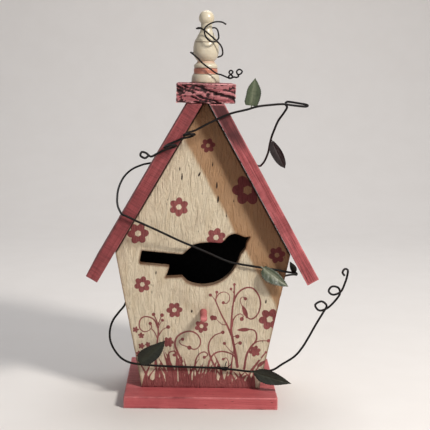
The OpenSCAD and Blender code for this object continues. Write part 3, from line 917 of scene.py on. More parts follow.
@dataclass(frozen=True)
class Petal:
    """A pointed leaf or drop between two points."""

    tail: tuple[float, float]
    tip: tuple[float, float]
    wide: float

    def gap(self, x: np.ndarray, z: np.ndarray) -> np.ndarray:
        """Distance to the leaf's outline in millimetres, negative inside."""
        rx, rz = self.tip[0] - self.tail[0], self.tip[1] - self.tail[1]
        long = math.hypot(rx, rz)
        along = ((x - self.tail[0]) * rx + (z - self.tail[1]) * rz) / long
        aside = np.abs(-(x - self.tail[0]) * rz + (z - self.tail[1]) * rx) / long
        share = np.clip(along / long, 0, 1)
        half = self.wide / 2 * np.sin(math.pi * share ** 0.75) ** 0.8
        return np.maximum(aside - half, np.maximum(-along, along - long))


@dataclass
class GardenPrint:
    """The stencilled garden on the front panel: flowers above, scrolls and grass below."""

    flowers: tuple[Flower, ...] = (
        Flower(2.8, 237.5, 6.6, 10), Flower(-22.7, 181, 8.8, 28), Flower(-59.6, 156, 9.8, 5),
        Flower(11.7, 153.5, 8.8, 18), Flower(39.5, 197.5, 14.0, 0), Flower(68, 138, 7.8, 12),
        Flower(-55.2, 108.7, 7.6, 20), Flower(-25.4, 85, 7.4, 4), Flower(-0.1, 70, 6.4, 22), Flower(63, 77.5, 10.2, 8),
        Flower(50, 47, 5.4, 15, 6, False), Flower(-30.7, 54.5, 5.0, 0, 6, False), Flower(-61, 66, 3.0, 0, 5, False),
        Flower(-55.8, 60.4, 3.0, 20, 5, False), Flower(-55.4, 50.5, 3.0, 5, 5, False),
        Flower(-49.6, 52, 2.6, 40, 5, False), Flower(-58, 43, 3.0, 15, 5, False))
    strokes: tuple[Stem | Petal, ...] = (
        # Main stem and its buds
        Stem(((34, 32), (31.5, 46.5), (29, 57.5), (27.5, 68), (28, 85), (29.4, 97.5), (29.5, 110)), 2.8, 1.0, 1.3),
        Stem(((29.4, 101), (27.5, 104), (26.4, 105.6)), 0.8, 0.6, 1.3),
        # Large scroll on the right with a leaf inside
        Stem(((29.4, 94), (31.5, 99.5), (35, 104), (40.5, 107), (46.5, 106.5), (51.5, 101), (54, 93), (52.7, 84.5),
              (49.3, 79.2), (45, 77.4), (41.6, 79.5)), 1.6, 1.2, 1.2),
        Petal((41.8, 79.6), (37.2, 90.5), 4.2),
        Stem(((37.4, 89), (35, 95), (37.4, 98.4), (40, 96.6)), 0.9, 0.8, 1.5),
        Stem(((28.4, 70), (29, 76), (32, 80.6), (35.8, 82.2), (38.6, 80), (37, 77.4)), 1.2, 0.8, 1.9),
        # Left branch with its fork and thin curl
        Stem(((27.6, 62), (23.2, 72), (18.7, 80), (15.1, 88), (12.8, 94), (13.4, 102.4)), 1.9, 0.8, 1.4),
        Stem(((14.0, 91), (10.5, 97), (7.5, 99.6)), 1.1, 0.7, 1.5),
        Stem(((13.2, 97), (15.5, 101), (20.4, 102.8), (24.6, 100.4), (25.4, 96), (22.8, 92),
              (19.6, 92.6)), 0.9, 0.8, 1.5),
        Stem(((23.5, 71.5), (19, 72), (15.5, 75), (12, 78)), 0.9, 0.7, 2.1),
        # Lower right sweep
        Stem(((40.4, 30), (42.3, 43), (46.4, 51.3), (50.6, 56.5), (51.2, 62.3), (48.9, 66.7),
              (43.5, 67.8)), 2.2, 1.2),
        Petal((44.5, 67.6), (32.5, 66.8), 3.6),
        Stem(((48.5, 53.6), (53.4, 56.6), (62.6, 57)), 1.1, 0.8, 1.7),
        Stem(((29.5, 60), (31.8, 61.4), (33.4, 60.7)), 0.8, 0.8, 1.9),
        Stem(((30.5, 52), (33.5, 54.6), (36, 54.5)), 0.8, 0.8, 1.7),
        Stem(((31.5, 44), (27, 47), (23.6, 51), (21.4, 54)), 1.0, 0.7, 1.5),
        # Curves in the middle
        Stem(((14, 30), (9, 40), (6.7, 48.6), (7.9, 56), (12.7, 61.8), (19.8, 64.5)), 1.8, 0.9, 1.7),
        Stem(((6, 29), (8.3, 37.7), (11.7, 43.5), (18, 46.2), (25.2, 45.2), (31, 41.6), (34, 34)), 1.6, 1.2),
        Stem(((25.6, 30), (25.6, 36), (23.4, 40.2), (20.6, 38.8)), 1.1, 0.8, 1.3),
        Stem(((-5.5, 29), (-5, 37), (-2, 43.3), (3.2, 45.6), (6.2, 42.6), (3, 40.4)), 1.6, 0.9, 1.5),
        # Open scroll left of the middle
        Stem(((-17.5, 36), (-22, 45.4), (-24.5, 52), (-23.4, 58.2), (-19.7, 62.2), (-14.6, 64.6), (-9.4, 65),
              (-4.2, 62.4),
              (-0.8, 56.6), (-1.9, 50.8), (-6.1, 47.8), (-11, 49.4)), 2.0, 1.0, 2.0),
        Stem(((-13, 50.4), (-19, 52.6), (-20.6, 56), (-17.4, 57.4)), 0.9, 0.8, 1.6),
        Stem(((-29.5, 29), (-31.2, 38.6), (-29.9, 44), (-26, 46), (-22.8, 44.6), (-25, 42.2)), 1.7, 0.9, 1.5),
        # Small tree and scroll on the left
        Stem(((-42.5, 31), (-41, 53), (-40.2, 62.6), (-40.7, 72), (-44.6, 80.6)), 2.2, 0.9, 1.7),
        Stem(((-40.4, 70), (-38.6, 76), (-36.8, 80)), 1.0, 0.8, 1.8),
        Stem(((-40.2, 67), (-38.4, 72), (-36.2, 75.2)), 0.9, 0.7, 1.4),
        Stem(((-40.4, 59), (-38, 63.5), (-35.4, 66.7), (-30.9, 68.8)), 1.2, 0.8, 1.8),
        Stem(((-40.7, 68), (-43.3, 74.5), (-47.2, 77.6), (-52.4, 78.4), (-56.2, 76.3), (-57.8, 71.7), (-56.8, 66.6),
              (-52.9, 64), (-48.6, 65.4), (-46.2, 68.6), (-47.6, 72)), 1.4, 0.9, 1.6),
        Stem(((-41, 58), (-43.4, 63.6), (-46.4, 67)), 1.0, 0.8),
        # Right foot
        Stem(((47, 28), (53, 36.5), (60.2, 46)), 2.6, 1.0, 1.2), Petal((52.5, 32), (60.6, 38.4), 3.4),
        Petal((9.9, 80.6), (9.4, 75.4), 4.4))
    cracks: tuple[Petal, ...] = (
        Petal((-20.6, 205), (-20.2, 212.5), 1.5), Petal((-22.6, 213.8), (-22.3, 218), 1.1),
        Petal((-5.6, 209), (-3.4, 213.6), 1.6), Petal((7.2, 218), (7.6, 224), 1.2),
        Petal((11.2, 198), (11.6, 205), 1.5),
        Petal((12.7, 185), (13.1, 193.5), 1.7), Petal((27, 186), (27.4, 189.6), 1.2),
        Petal((-33, 186), (-32.6, 190), 1.0),
        Petal((-9.6, 82.6), (-9.2, 86), 1.6), Petal((-43, 118), (-42.6, 121.6), 1.1),
        Petal((20.5, 172), (20.9, 176), 1.0),
        Petal((58.8, 92), (59.2, 96.4), 1.4), Petal((-2.2, 192), (-1.9, 195), 1.0),
        Petal((38, 122), (38.3, 125), 1.0))
    grass_blades: int = 78
    seed: int = 5

    def blades(self) -> list[Stem]:
        """Thick grass along the floor, standing in a solid foot.

        Returns:
            The blades, as strokes that taper upwards.
        """
        pick = random.Random(self.seed)
        made = []
        for k in range(self.grass_blades):
            x = -52 + 102 * (k + pick.uniform(-0.4, 0.4)) / (self.grass_blades - 1)
            tall = 9 + 21 * pick.random() ** 1.3 * (1.15 - 0.35 * math.cos(x * 0.14))
            lean = pick.uniform(-9, 9)
            made.append(Stem(((x - lean * 0.2, 10), (x + lean * 0.1, 11 + tall * 0.5), (x + lean, 11 + tall)),
                             pick.uniform(3.0, 4.8), 0.3))
        return made

    def gap(self, places: np.ndarray) -> np.ndarray:
        """Distance to the print's outline for each point, in millimetres, up to 3."""
        x, z = places[:, 0], places[:, 2]
        best = np.full(len(x), 3.0)
        for mark in (*self.flowers, *self.strokes, *self.blades()):
            if isinstance(mark, Flower):
                near = np.hypot(x - mark.x, z - mark.z) < mark.radius + 4
            elif isinstance(mark, Stem):
                xs, zs = zip(*mark.points)
                near = (x > min(xs) - 6) & (x < max(xs) + 6) & (z > min(zs) - 6) & (z < max(zs) + 6)
            else:
                near = np.hypot(x - mark.tail[0], z - mark.tail[1]) < 18
            best[near] = np.minimum(best[near], mark.gap(x[near], z[near]))
        return best


@dataclass
class FrontPanel(Board):
    """The printed front panel with the bird opening; its face carries a fine grid for the print."""

    face: float = -36.5
    print_grid: float = 0.75
    upper_grid: float = 1.1
    plain_grid: float = 3.0
    print_top: float = 122.0
    garden: GardenPrint = field(default_factory=GardenPrint)

    def cut(self, mesh: bmesh.types.BMesh) -> None:
        """Cut the face finely and the rest coarsely."""
        grid_faces(mesh, mesh.faces[:], ((THROUGH, self.plain_grid),))
        cut_through(mesh, UP * self.print_top * MM, UP)
        mesh.normal_update()
        grid_faces(mesh, [f for f in mesh.faces if f.normal.y > -0.9], ((UP, self.plain_grid),))
        mesh.normal_update()
        front = [(f.calc_center_median().z < self.print_top * MM, f) for f in mesh.faces if f.normal.y < -0.9]
        for low, step in ((True, self.print_grid), (False, self.upper_grid)):
            grid_faces(mesh, [f for below, f in front if below == low], ((SIDE, step), (UP, step)))

    def hollow(self, place: Vector, spot: tuple[float, float, float], edge: float) -> float:
        """Weathered vertical ridges, deeper towards the upper left, and worn edges."""
        x, _, z = place
        saw = 0.5 + 0.5 * swell(spot, 0.05, 0.42, self.seed)
        bent = (spot[0], spot[1], spot[2] + 4 * math.sin(z * 0.09))
        ridge = abs(swell(bent, 0.030, 0.75, self.seed + 4))
        upper = min(max((z - 90) / 90, 0.25), 1.0) * min(max((40 - x) / 60, 0.35), 1.0)
        bite = max(0.0, swell(spot, 0.12, 0.2, self.seed + 31) - 0.2) / 0.4 if edge < 2 else 0.0
        return self.relief * (0.6 * saw + 1.8 * upper * (1 - ridge)) + self.nick * bite * max(0.0, 1 - edge / 2.0)

    def extra(self, data: bpy.types.Mesh, places: np.ndarray) -> None:
        """Store the print's outline distance, and the opening's bare rim."""
        gap = np.where(places[:, 1] < self.face + 0.9, self.garden.gap(places), 3.0)
        store(data, "print", gap)
        split, near = np.full(len(places), 3.0), places[:, 1] < self.face + 1.4
        for mark in self.garden.cracks:
            split = np.minimum(split, np.where(near, mark.gap(places[:, 0], places[:, 2]), 3.0))
        store(data, "crack", np.clip(split, -3, 3))
        rim = []
        for face in data.polygons:
            x, y, z = (c / MM for c in face.center)
            inside = -60 < x < 46 and 106 < z < 160 and abs(x) < 62 and y > self.face + 1.0
            rim.append(0.8 if inside and abs(face.normal.y) < 0.7 and y < -24 else 0.0)
        store(data, "rim", rim, "FACE")


@dataclass
class CapBlock(Board):
    """The rough ridge cap with slanting splits."""

    splits: tuple[tuple[float, float, float, float, float], ...] = (
        (4.2, -14, 33, 1.1, 3.0), (-4.8, -32, -18, 0.9, 2.6), (-2.0, -30, -12, 0.7, 2.2), (0.4, -22, -5, 0.7, 2.2),
        (-3.4, -10, 13, 0.8, 2.4), (-6.0, -14, 8, 0.6, 1.8), (8.6, 14, 31, 0.5, 1.6))

    def hollow(self, place: Vector, spot: tuple[float, float, float], edge: float) -> float:
        """Deep slanting splits and torn grain on every face; each split has its offset, reach, half width and depth."""
        x, y, z = place
        warp = 1.6 * noise.noise(Vector((x * 0.10, y * 0.05, z * 0.12 + 3)))
        slant = 0.30 * x + 0.954 * (z - 284) + 0.12 * y + 6.2 + warp
        along = 0.954 * x - 0.30 * (z - 284)
        torn = 0.5 + 0.5 * noise.noise(Vector((along * 0.11, y * 0.11, slant * 0.75)))
        fine = 0.5 + 0.5 * noise.noise(Vector((along * 0.35, y * 0.4, slant * 1.6 + 5)))
        start_at = 0.04 if x < 10 else 0.20
        chips = max(0.0, noise.noise(Vector((along * 0.30, y * 0.26, slant * 0.80 + 11))) - start_at) / 0.42
        split = 0.0
        for centre, start, end, half, deep in self.splits:
            inside = min(1.0, max(0.0, (x - start) / 4), max(0.0, (end - x) / 4)) if start < x < end else 0.0
            width = half * (1 + 0.7 * noise.noise(Vector((x * 0.25, centre, y * 0.08)))) + 0.35
            split = max(split, deep * inside * max(0.0, 1 - abs(slant - centre) / width))
        bite = max(0.0, noise.noise(Vector((x * 0.2, y * 0.2, z * 0.25 + 7))) - 0.05)
        return (self.relief * (1.3 * torn + 0.8 * fine) + (split + 1.5 * chips) * min(1.0, 0.35 + edge / 1.6)
                + self.nick * 2.2 * bite * max(0.0, 1 - edge / 3.0))


# --- Turned pieces -----------------------------------------------------------------------------


def arc(middle: float, height: float, wide: float, tall: float, start: float, end: float, steps: int
        ) -> list[tuple[float, float]]:
    """Points of an oval arc as radius and height."""
    turns = [math.radians(start + (end - start) * k / steps) for k in range(steps + 1)]
    return [(middle + wide * math.cos(t), height + tall * math.sin(t)) for t in turns]


@dataclass
class Finial:
    """The turned finial on the ridge cap, with lathe rings and a hidden tenon."""

    middle_y: float = 4.0
    foot_r: float = 13.2
    ball_r: float = 12.0
    ball_core: float = 4.4
    ball_z: float = 29.5
    knob_r: float = 7.2
    knob_z: float = 59.4
    tenon: tuple[float, float] = (4.5, 12.0)

    def profile(self) -> list[tuple[float, float]]:
        """Radius and height above the cap, from the tenon to the top."""
        (r, deep), core = self.tenon, self.ball_core
        return ([(0, -deep), (r - 0.4, -deep), (r, -deep + 0.6), (r, 0), (self.foot_r - 0.5, 0), (self.foot_r, 0.5)]
                + arc(11.4, 1.2, self.foot_r - 11.4, 6.6, 4, 75, 10)
                + [(11.4, 8.2), (11.1, 8.6), (11.2, 9.4), (11.25, 11.8), (11.1, 12.7), (10.6, 13.2), (10.9, 13.7),
                   (11.15, 14.8), (10.9, 16.2), (10.3, 17.0), (9.2, 17.7), (8.7, 18.6)]
                + arc(core, self.ball_z, self.ball_r - core, 10.6, -65, 0, 12)
                + arc(core, self.ball_z, self.ball_r - core, 16.4, 3, 26, 8)
                + [(10.95, 37.1), (10.7, 37.3), (10.9, 37.6), (11.0, 37.85), (10.6, 38.8), (9.6, 40.6), (8.0, 43.4),
                   (6.5, 46.2), (5.5, 48.6), (5.2, 50.2), (5.5, 51.4), (5.2, 52.4)]
                + arc(0, self.knob_z, self.knob_r, self.knob_r, -43, 90, 18))

    def build(self, finish: Finish) -> bpy.types.Object:
        """Make the finial.

        Args:
            finish: its finish.

        Returns:
            The piece.
        """
        mesh = turned(self.profile())
        for vert in mesh.verts:
            x, y, z = vert.co / MM
            away = math.hypot(x, y)
            if z > 0.2 and away > 0.5:
                ring = 0.05 * math.sin(z * 5.2) + 0.16 * noise.noise(Vector((x * 0.16, y * 0.16, z * 0.12)))
                vert.co.xy *= 1 - abs(ring) / away
        bmesh.ops.translate(mesh, verts=mesh.verts, vec=Vector((0, self.middle_y, FINIAL_FOOT)) * MM)
        return new_piece("finial_turned", "finial", mesh, finish, 65)


@dataclass
class Dowel:
    """The perch: a dowel with eased ends and a hand-cut surface."""

    x: float = 1.4
    z: float = 83.5
    radius: float = 3.2
    back: float = -24.5
    front: float = -63.5

    def build(self, finish: Finish) -> bpy.types.Object:
        """Make the perch.

        Args:
            finish: its finish.

        Returns:
            The piece.
        """
        r, long = self.radius, self.back - self.front
        ring = [(0, 0), (r * 0.5, 0.02), (r - 0.7, 0.1), (r - 0.25, 0.35), (r, 0.9)]
        body = [(r - 0.04 * (k % 2), 0.9 + (long - 1.3) * k / 22) for k in range(1, 22)]
        mesh = turned(ring + body + [(r, long - 0.3), (r - 0.3, long), (0, long)], 48)
        for vert in mesh.verts:
            x, y, z = vert.co / MM
            away = math.hypot(x, y)
            if away > 0.5 and z < 26:
                vert.co.xy *= 1 - 0.14 * (0.5 + 0.5 * noise.noise(Vector((x * 0.6, y * 0.6, z * 0.15)))) / away
            elif z < 0.5:
                vert.co.z += 0.12 * MM * (0.5 + 0.5 * noise.noise(Vector((x * 0.9, y * 0.9, 3))))
        lay_along_y(mesh, (self.x, self.front, self.z))
        piece = new_piece("perch_dowel", "perch", mesh, finish, 50)
        store(piece.data, "edge", [3.0 if v.co.y > (self.front + 1.2) * MM else 1.0 for v in piece.data.vertices])
        return piece


# --- Hardware ----------------------------------------------------------------------------------


@dataclass
class Hardware:
    """The door knob, hinges, turn button, screws and brads, from their CAD nodes or turned afresh."""

    knob_place: tuple[float, float, float] = (-14.0, 47.5, 48.8)
    hinge_x: float = 23.4
    hinge_leaf: float = 0.8
    hinge_long: float = 14
    screw_off: float = 1.6 + 0.4 + 4.0
    back: float = 47.5
    hinge_zs: tuple[float, float] = (27.8, 55.8)
    button: tuple[float, float] = (-31.8, 62.8)

    def eased(self, node: str, name: str, body: str, finish: Finish, width: float = 0.15,
              skipped: float = 0.9, segments: int = 2) -> bpy.types.Object:
        """A CAD piece with its sharp edges eased.

        Args:
            node: the CAD node.
            name: the piece's name.
            body: the body that it rides on.
            finish: its finish.
            width: the bevel in millimetres.
            skipped: edges up to this long are left.
            segments: the bevel's segments.

        Returns:
            The piece.
        """
        mesh = from_node(node)
        round_over(mesh, width, segments, longest_skipped=skipped)
        return new_piece(name, node, mesh, finish, 35, body)

    def slotted(self, mesh: bmesh.types.BMesh, place: Vector, out: Vector, radius: float, tall: float, shank: float,
                deep: float, turn: float) -> None:
        """Add a slotted round-headed screw to a mesh.

        Args:
            mesh: the mesh to add to.
            place: the underside of the head, in millimetres.
            out: the way the head faces.
            radius, tall: the head's sizes.
            shank, deep: the shank's radius and length.
            turn: the slot's angle in degrees.
        """
        new = bmesh.new()
        bmesh.ops.create_cone(new, cap_ends=True, segments=28, radius1=radius * MM, radius2=radius * 0.96 * MM,
                              depth=tall * MM)
        bmesh.ops.translate(new, verts=new.verts, vec=(0, 0, tall / 2 * MM))
        rim = [e for e in new.edges if all(v.co.z > tall * 0.9 * MM for v in e.verts)]
        bmesh.ops.bevel(new, geom=rim, offset=min(0.35, tall * 0.4) * MM, segments=3, profile=0.5, affect="EDGES",
                        clamp_overlap=True, material=-1)
        way = Vector((math.cos(math.radians(turn)), math.sin(math.radians(turn)), 0))
        for side in (-1, 1):
            cut_through(new, way * (side * radius * 0.13 * MM), way, 1e-8)
        new.normal_update()
        slot = [f for f in new.faces if f.normal.z > 0.9 and abs(f.calc_center_median().dot(way)) < radius * 0.1 * MM
                and f.calc_center_median().z > tall * 0.9 * MM]
        if slot:
            sunk = bmesh.ops.extrude_face_region(new, geom=slot)
            bmesh.ops.translate(new, verts=verts_of(sunk["geom"]), vec=(0, 0, -min(0.5, tall * 0.55) * MM))
            bmesh.ops.delete(new, geom=slot, context="FACES_ONLY")
        stem = bmesh.ops.create_cone(new, cap_ends=True, segments=20, radius1=shank * 0.6 * MM, radius2=shank * MM,
                                     depth=deep * MM)
        bmesh.ops.translate(new, verts=stem["verts"], vec=(0, 0, (-deep / 2 + 0.02) * MM))
        turn_to = Vector((0, 0, 1)).rotation_difference(out).to_matrix().to_4x4()
        bmesh.ops.transform(new, matrix=Matrix.Translation(place * MM) @ turn_to, verts=new.verts)
        made = bpy.data.meshes.new("screw")
        new.to_mesh(made)
        new.free()
        mesh.from_mesh(made)
        bpy.data.meshes.remove(made)

    def screws(self, brass: Finish, steel: Finish) -> None:
        """Hinge screws and the button's screw."""
        for side, name, node, body in ((1, "frame_hinge_screw_set", "frame_hinge_screws", "house"),
                                       (-1, "door_hinge_screw_set", "door_hinge_screws", "door")):
            mesh = bmesh.new()
            for k, z in enumerate(self.hinge_zs):
                for m, share in enumerate((0.22, 0.78)):
                    place = Vector((self.hinge_x + side * self.screw_off, self.back + self.hinge_leaf,
                                    z + share * self.hinge_long))
                    self.slotted(mesh, place, THROUGH, 1.4, 0.8, 0.75, 7, 25 + 47 * (2 * k + m) + 30 * side)
            new_piece(name, node, mesh, brass, 35, body)
        mesh = bmesh.new()
        self.slotted(mesh, Vector((self.button[0], self.back + 5.4, self.button[1])), THROUGH, 3.0, 1.6, 1.5, 13.4, 62)
        new_piece("button_slotted_screw", "button_screw", mesh, steel, 35)

    def knob(self, finish: Finish) -> None:
        """The turned knob on the door."""
        profile = [(0, -6), (1.5, -6), (1.5, 0), (3.0, 0), (3.2, 0.2), (3.2, 0.8), (3.0, 1.2), (2.5, 2.2), (2.4, 3.0),
                   (2.6, 4.0), (3.4, 4.8), (4.3, 5.5), (4.85, 6.4), (5.0, 7.2), (4.85, 8.4), (4.3, 9.3), (3.4, 9.9),
                   (1.8, 10.35), (0, 10.5)]
        mesh = turned(profile, 56)
        lay_along_y(mesh, self.knob_place)
        piece = new_piece("door_knob_turned", "door_knob", mesh, finish, 60, "door")
        store(piece.data, "edge", [3.0] * len(piece.data.vertices))

    def build(self, brass: Finish, steel: Finish, red: Finish, cream: Finish, roof: Finish) -> None:
        """Make every fitting.

        Args:
            brass, steel, red, cream, roof: the finishes.
        """
        self.eased("frame_hinge_leaves", "frame_hinge_leaf_set", "house", brass, 0.12)
        self.eased("door_hinge_leaves", "door_hinge_leaf_set", "door", brass, 0.12)
        self.eased("hinge_pins", "hinge_pin_set", "house", brass, 0.1, 0.0)
        button = self.eased("turn_button", "turn_button_eased", "button", red, 0.6, 0.0, 3)
        store(button.data, "edge", [3.0] * len(button.data.vertices))
        self.eased("button_washer", "button_washer_eased", "house", steel, 0.1, 0.0)
        self.screws(brass, steel)
        self.knob(red)
        for node, name, slot, finish in (("front_brads", "front_brad_set", "cream_paint", cream),
                                         ("back_brads", "back_brad_set", "cream_paint", cream),
                                         ("roof_brads", "roof_brad_set", "roof_paint", roof),
                                         ("cap_brads", "cap_brad_set", "cap_paint", roof)):
            piece = self.eased(node, name, "house", finish, 0.12, 0.0)
            store(piece.data, "edge", [2.5] * len(piece.data.vertices))
        self.eased("base_screws", "base_screw_set", "house", steel, 0.12, 0.0)


# --- Wire and leaves ---------------------------------------------------------------------------


@dataclass
class WireWork:
    """The vine wire, the finial wire, their staples and the tied knot."""

    vine_d: float = 2.0
    finial_d: float = 1.5
    knot_place: tuple[float, float, float] = (22.0, -39.3, 30.5)
    vine: tuple[tuple[float, float, float], ...] = (
        # Curls and run up the left slope, over the gable to the loop above the right eave
        (-50, -57, 229), (-53, -59, 227), (-57, -58, 229), (-56, -55, 232), (-52, -53.5, 231), (-48, -53.5, 228),
        (-42, -54, 231), (-36, -54, 234), (-30, -54, 236), (-26, -57, 238), (-26, -61, 239), (-30, -64, 239),
        (-35, -62, 237), (-36, -58, 237), (-33, -55, 239), (-26, -54, 242), (-19, -54, 245), (-14, -54, 246),
        (-10, -57, 248), (-10, -61, 249), (-13, -63, 249), (-18, -61, 248), (-19, -57, 248), (-15, -55, 250),
        (-9, -54, 252), (0, -54, 257), (8, -54, 261), (21, -54, 267), (36, -54, 271), (46, -54, 274),
        (57, -53, 275.5),
        (68, -52, 276.4), (76, -51.5, 275.6),
        (84, -51, 274.8), (89, -50.5, 274.6), (90.5, -50, 275.6), (88, -49.5, 276.5), (82, -49, 277.4),
        (76, -48.5, 278.2), (72, -48, 278.4), (70.6, -47.5, 276.4), (72.4, -46, 273.6), (70.5, -42, 269),
        (66, -34, 261), (63.5, -26, 253), (61.5, -18, 245), (60.8, -8, 237.5), (60.6, 6, 229), (58.7, 20, 220),
        # Behind the house, out of sight
        (56.5, 36, 214), (56.2, 50, 212), (55, 60.5, 211), (52, 61.5, 212), (45, 61.5, 213), (30, 66, 216),
        (0, 67, 217), (-30, 66, 216),
        (-45, 61.5, 213), (-52, 61.5, 212), (-58, 60.5, 211),
        # Round the left roof board and down across the front
        (-62, 57, 210), (-70, 46, 207), (-77, 32, 201), (-81, 14, 192), (-81, -6, 184), (-79, -26, 180),
        (-76, -44, 178), (-73, -54, 176), (-68, -55, 174), (-60, -54, 170), (-43, -50, 162), (-23, -45, 152),
        (-10, -41, 146), (6, -39, 139), (20, -39, 133), (31, -39, 130), (52, -40, 127), (67, -40, 125),
        (77, -39.5, 123), (86, -34, 121),
        # Round the back again, out of sight, and round the left side to the foot
        (88, -22, 117), (88, 4, 112), (85, 30, 106), (79, 45, 101), (70, 50.5, 98), (45, 49, 95), (20, 50, 92),
        (-10, 50, 90), (-40, 49, 88), (-62, 50.5, 86),
        (-72, 46, 85), (-73, 32, 84.5), (-72.6, 16, 84), (-72.5, 2, 83.5),
        (-74, -8, 81), (-78, -14, 77), (-83, -18, 70.5), (-85.5, -20, 63.5), (-86, -22, 56), (-84.5, -25, 50),
        (-80.5, -30, 44), (-74.5, -36, 39), (-67, -40, 36), (-58, -41, 34.5), (-44, -40, 33), (-26, -39, 32),
        (-1, -39, 31.5), (16, -39, 31), (34, -40, 29.6), (47, -42, 29), (65, -44, 31), (75, -44, 37),
        (86, -43, 44), (93, -42, 52), (99, -41, 62), (106, -40, 75),
        # End curls on the right
        (113, -39, 87), (115, -39, 92), (110, -40, 96), (104, -42, 93), (108, -43, 88), (116, -43, 91),
        (124, -41, 99),
        (127, -39, 104), (125, -39, 109), (119, -40, 110), (116, -42, 106), (120, -43, 103), (127, -43, 106),
        (131, -41, 114), (133, -40, 121), (133, -41, 126), (130, -42, 127), (128, -43, 124), (130, -44, 121))
    curls: tuple[tuple[float, float, float], ...] = (
        (18, -2, 347), (14, -3, 349), (8, -5, 349), (3, -6, 347), (-1, -7, 344), (-2, -9, 340), (-1, -10, 336),
        (1, -12, 333), (4, -13, 331), (8, -12, 331), (11, -10, 334), (11, -7, 338), (10, -2, 342), (8, 5, 344),
        (4, 11, 344), (-3, 12, 344), (-8, 7, 343), (-9, 0, 343),
        (-5, -5, 343), (3, -8, 337), (9, -8, 332), (13, -7, 328), (15, -3, 324), (15, 5, 319), (9, 16, 317),
        (-1, 18, 318), (-10, 14, 320), (-14, 5, 321), (-13, -2, 320),
        (-8, -8, 316), (-3, -10, 311), (4, -11, 306), (10, -11, 302), (14, -11, 301), (19, -12, 299),
        (22.5, -12, 297.8), (24.6, -12.5, 299.6), (22.8, -13, 301.4), (21.2, -13.5, 303.4), (22.8, -14, 305.2),
        (24.8, -14.5, 303.6), (23, -15, 301.6), (20.8, -15.5, 299.7), (22.6, -16, 297.9), (25.6, -16.4, 299.2),
        (28, -16.8, 298.8), (30, -17.2, 300.2), (28.6, -17.7, 302.2), (28, -18.2, 304.4), (30.4, -18.7, 306.2),
        (33, -19.2, 304.4), (31.4, -19.7, 302), (28.2, -20.2, 301.4))
    staples: tuple[tuple[float, float, float], ...] = ((-48.5, 61.5, 212.5), (48.5, 61.5, 212.5), (45, 49, 95),
                                                       (-40, 49, 88))
    staple_leg: float = 8.0

    def staple_route(self, place: Sequence[float]) -> list[Vector]:
        """A staple's path: in, round two tight corners and out."""
        x, y, z = place
        half, crown = (self.vine_d + 2) / 2, y + self.vine_d / 2 + 0.5
        tail = crown - self.staple_leg
        line = [(x, tail, z - half), (x, crown - 0.7, z - half), (x, crown - 0.2, z - half + 0.2),
                (x, crown, z - half + 0.7), (x, crown, z + half - 0.7), (x, crown - 0.2, z + half - 0.2),
                (x, crown - 0.7, z + half), (x, tail, z + half)]
        return [Vector(p) * MM for p in line]

    def knot_routes(self) -> list[list[Vector]]:
        """The knot's close turns about the vine wire, and its three cut ends."""
        middle = Vector(self.knot_place)
        turns = []
        for k in range(0, 97):
            a = math.tau * k / 16
            r = self.vine_d / 2 + 0.5 + 0.10 * math.sin(k * 0.7)
            turns.append((middle + Vector((-2.3 + 4.6 * k / 96, r * math.sin(a), r * math.cos(a)))) * MM)
        ends = []
        for aim, curve in ((30, 1.2), (88, -1.4), (150, 1.0)):
            way = Vector((math.cos(math.radians(aim)), 0, math.sin(math.radians(aim))))
            side = Vector((-way.z, 0, way.x))
            spots = [middle + Vector((0, -1.4, 0)) + way * (7.4 * k / 6) + side * (curve * (k / 6) ** 2)
                     for k in range(7)]
            ends.append(smooth_route(spots, 0.8))
        return [turns, *ends]

    def build(self, wire: Finish, steel: Finish) -> None:
        """Make the wires, staples and knot.

        Args:
            wire: the dark wire's finish.
            steel: the staples' finish.
        """
        settle(tubes("vine_wire_round", [smooth_route(self.vine, 1.8)], self.vine_d / 2, 4), "vine_wire", wire)
        settle(tubes("finial_wire_round", [smooth_route(self.curls, 1.0)], self.finial_d / 2), "finial_wire", wire)
        settle(tubes("wire_staple_set", [self.staple_route(p) for p in self.staples], 0.5), "wire_staples", steel)
        settle(tubes("tie_knot_wound", self.knot_routes(), 0.42), "tie_knot", wire)


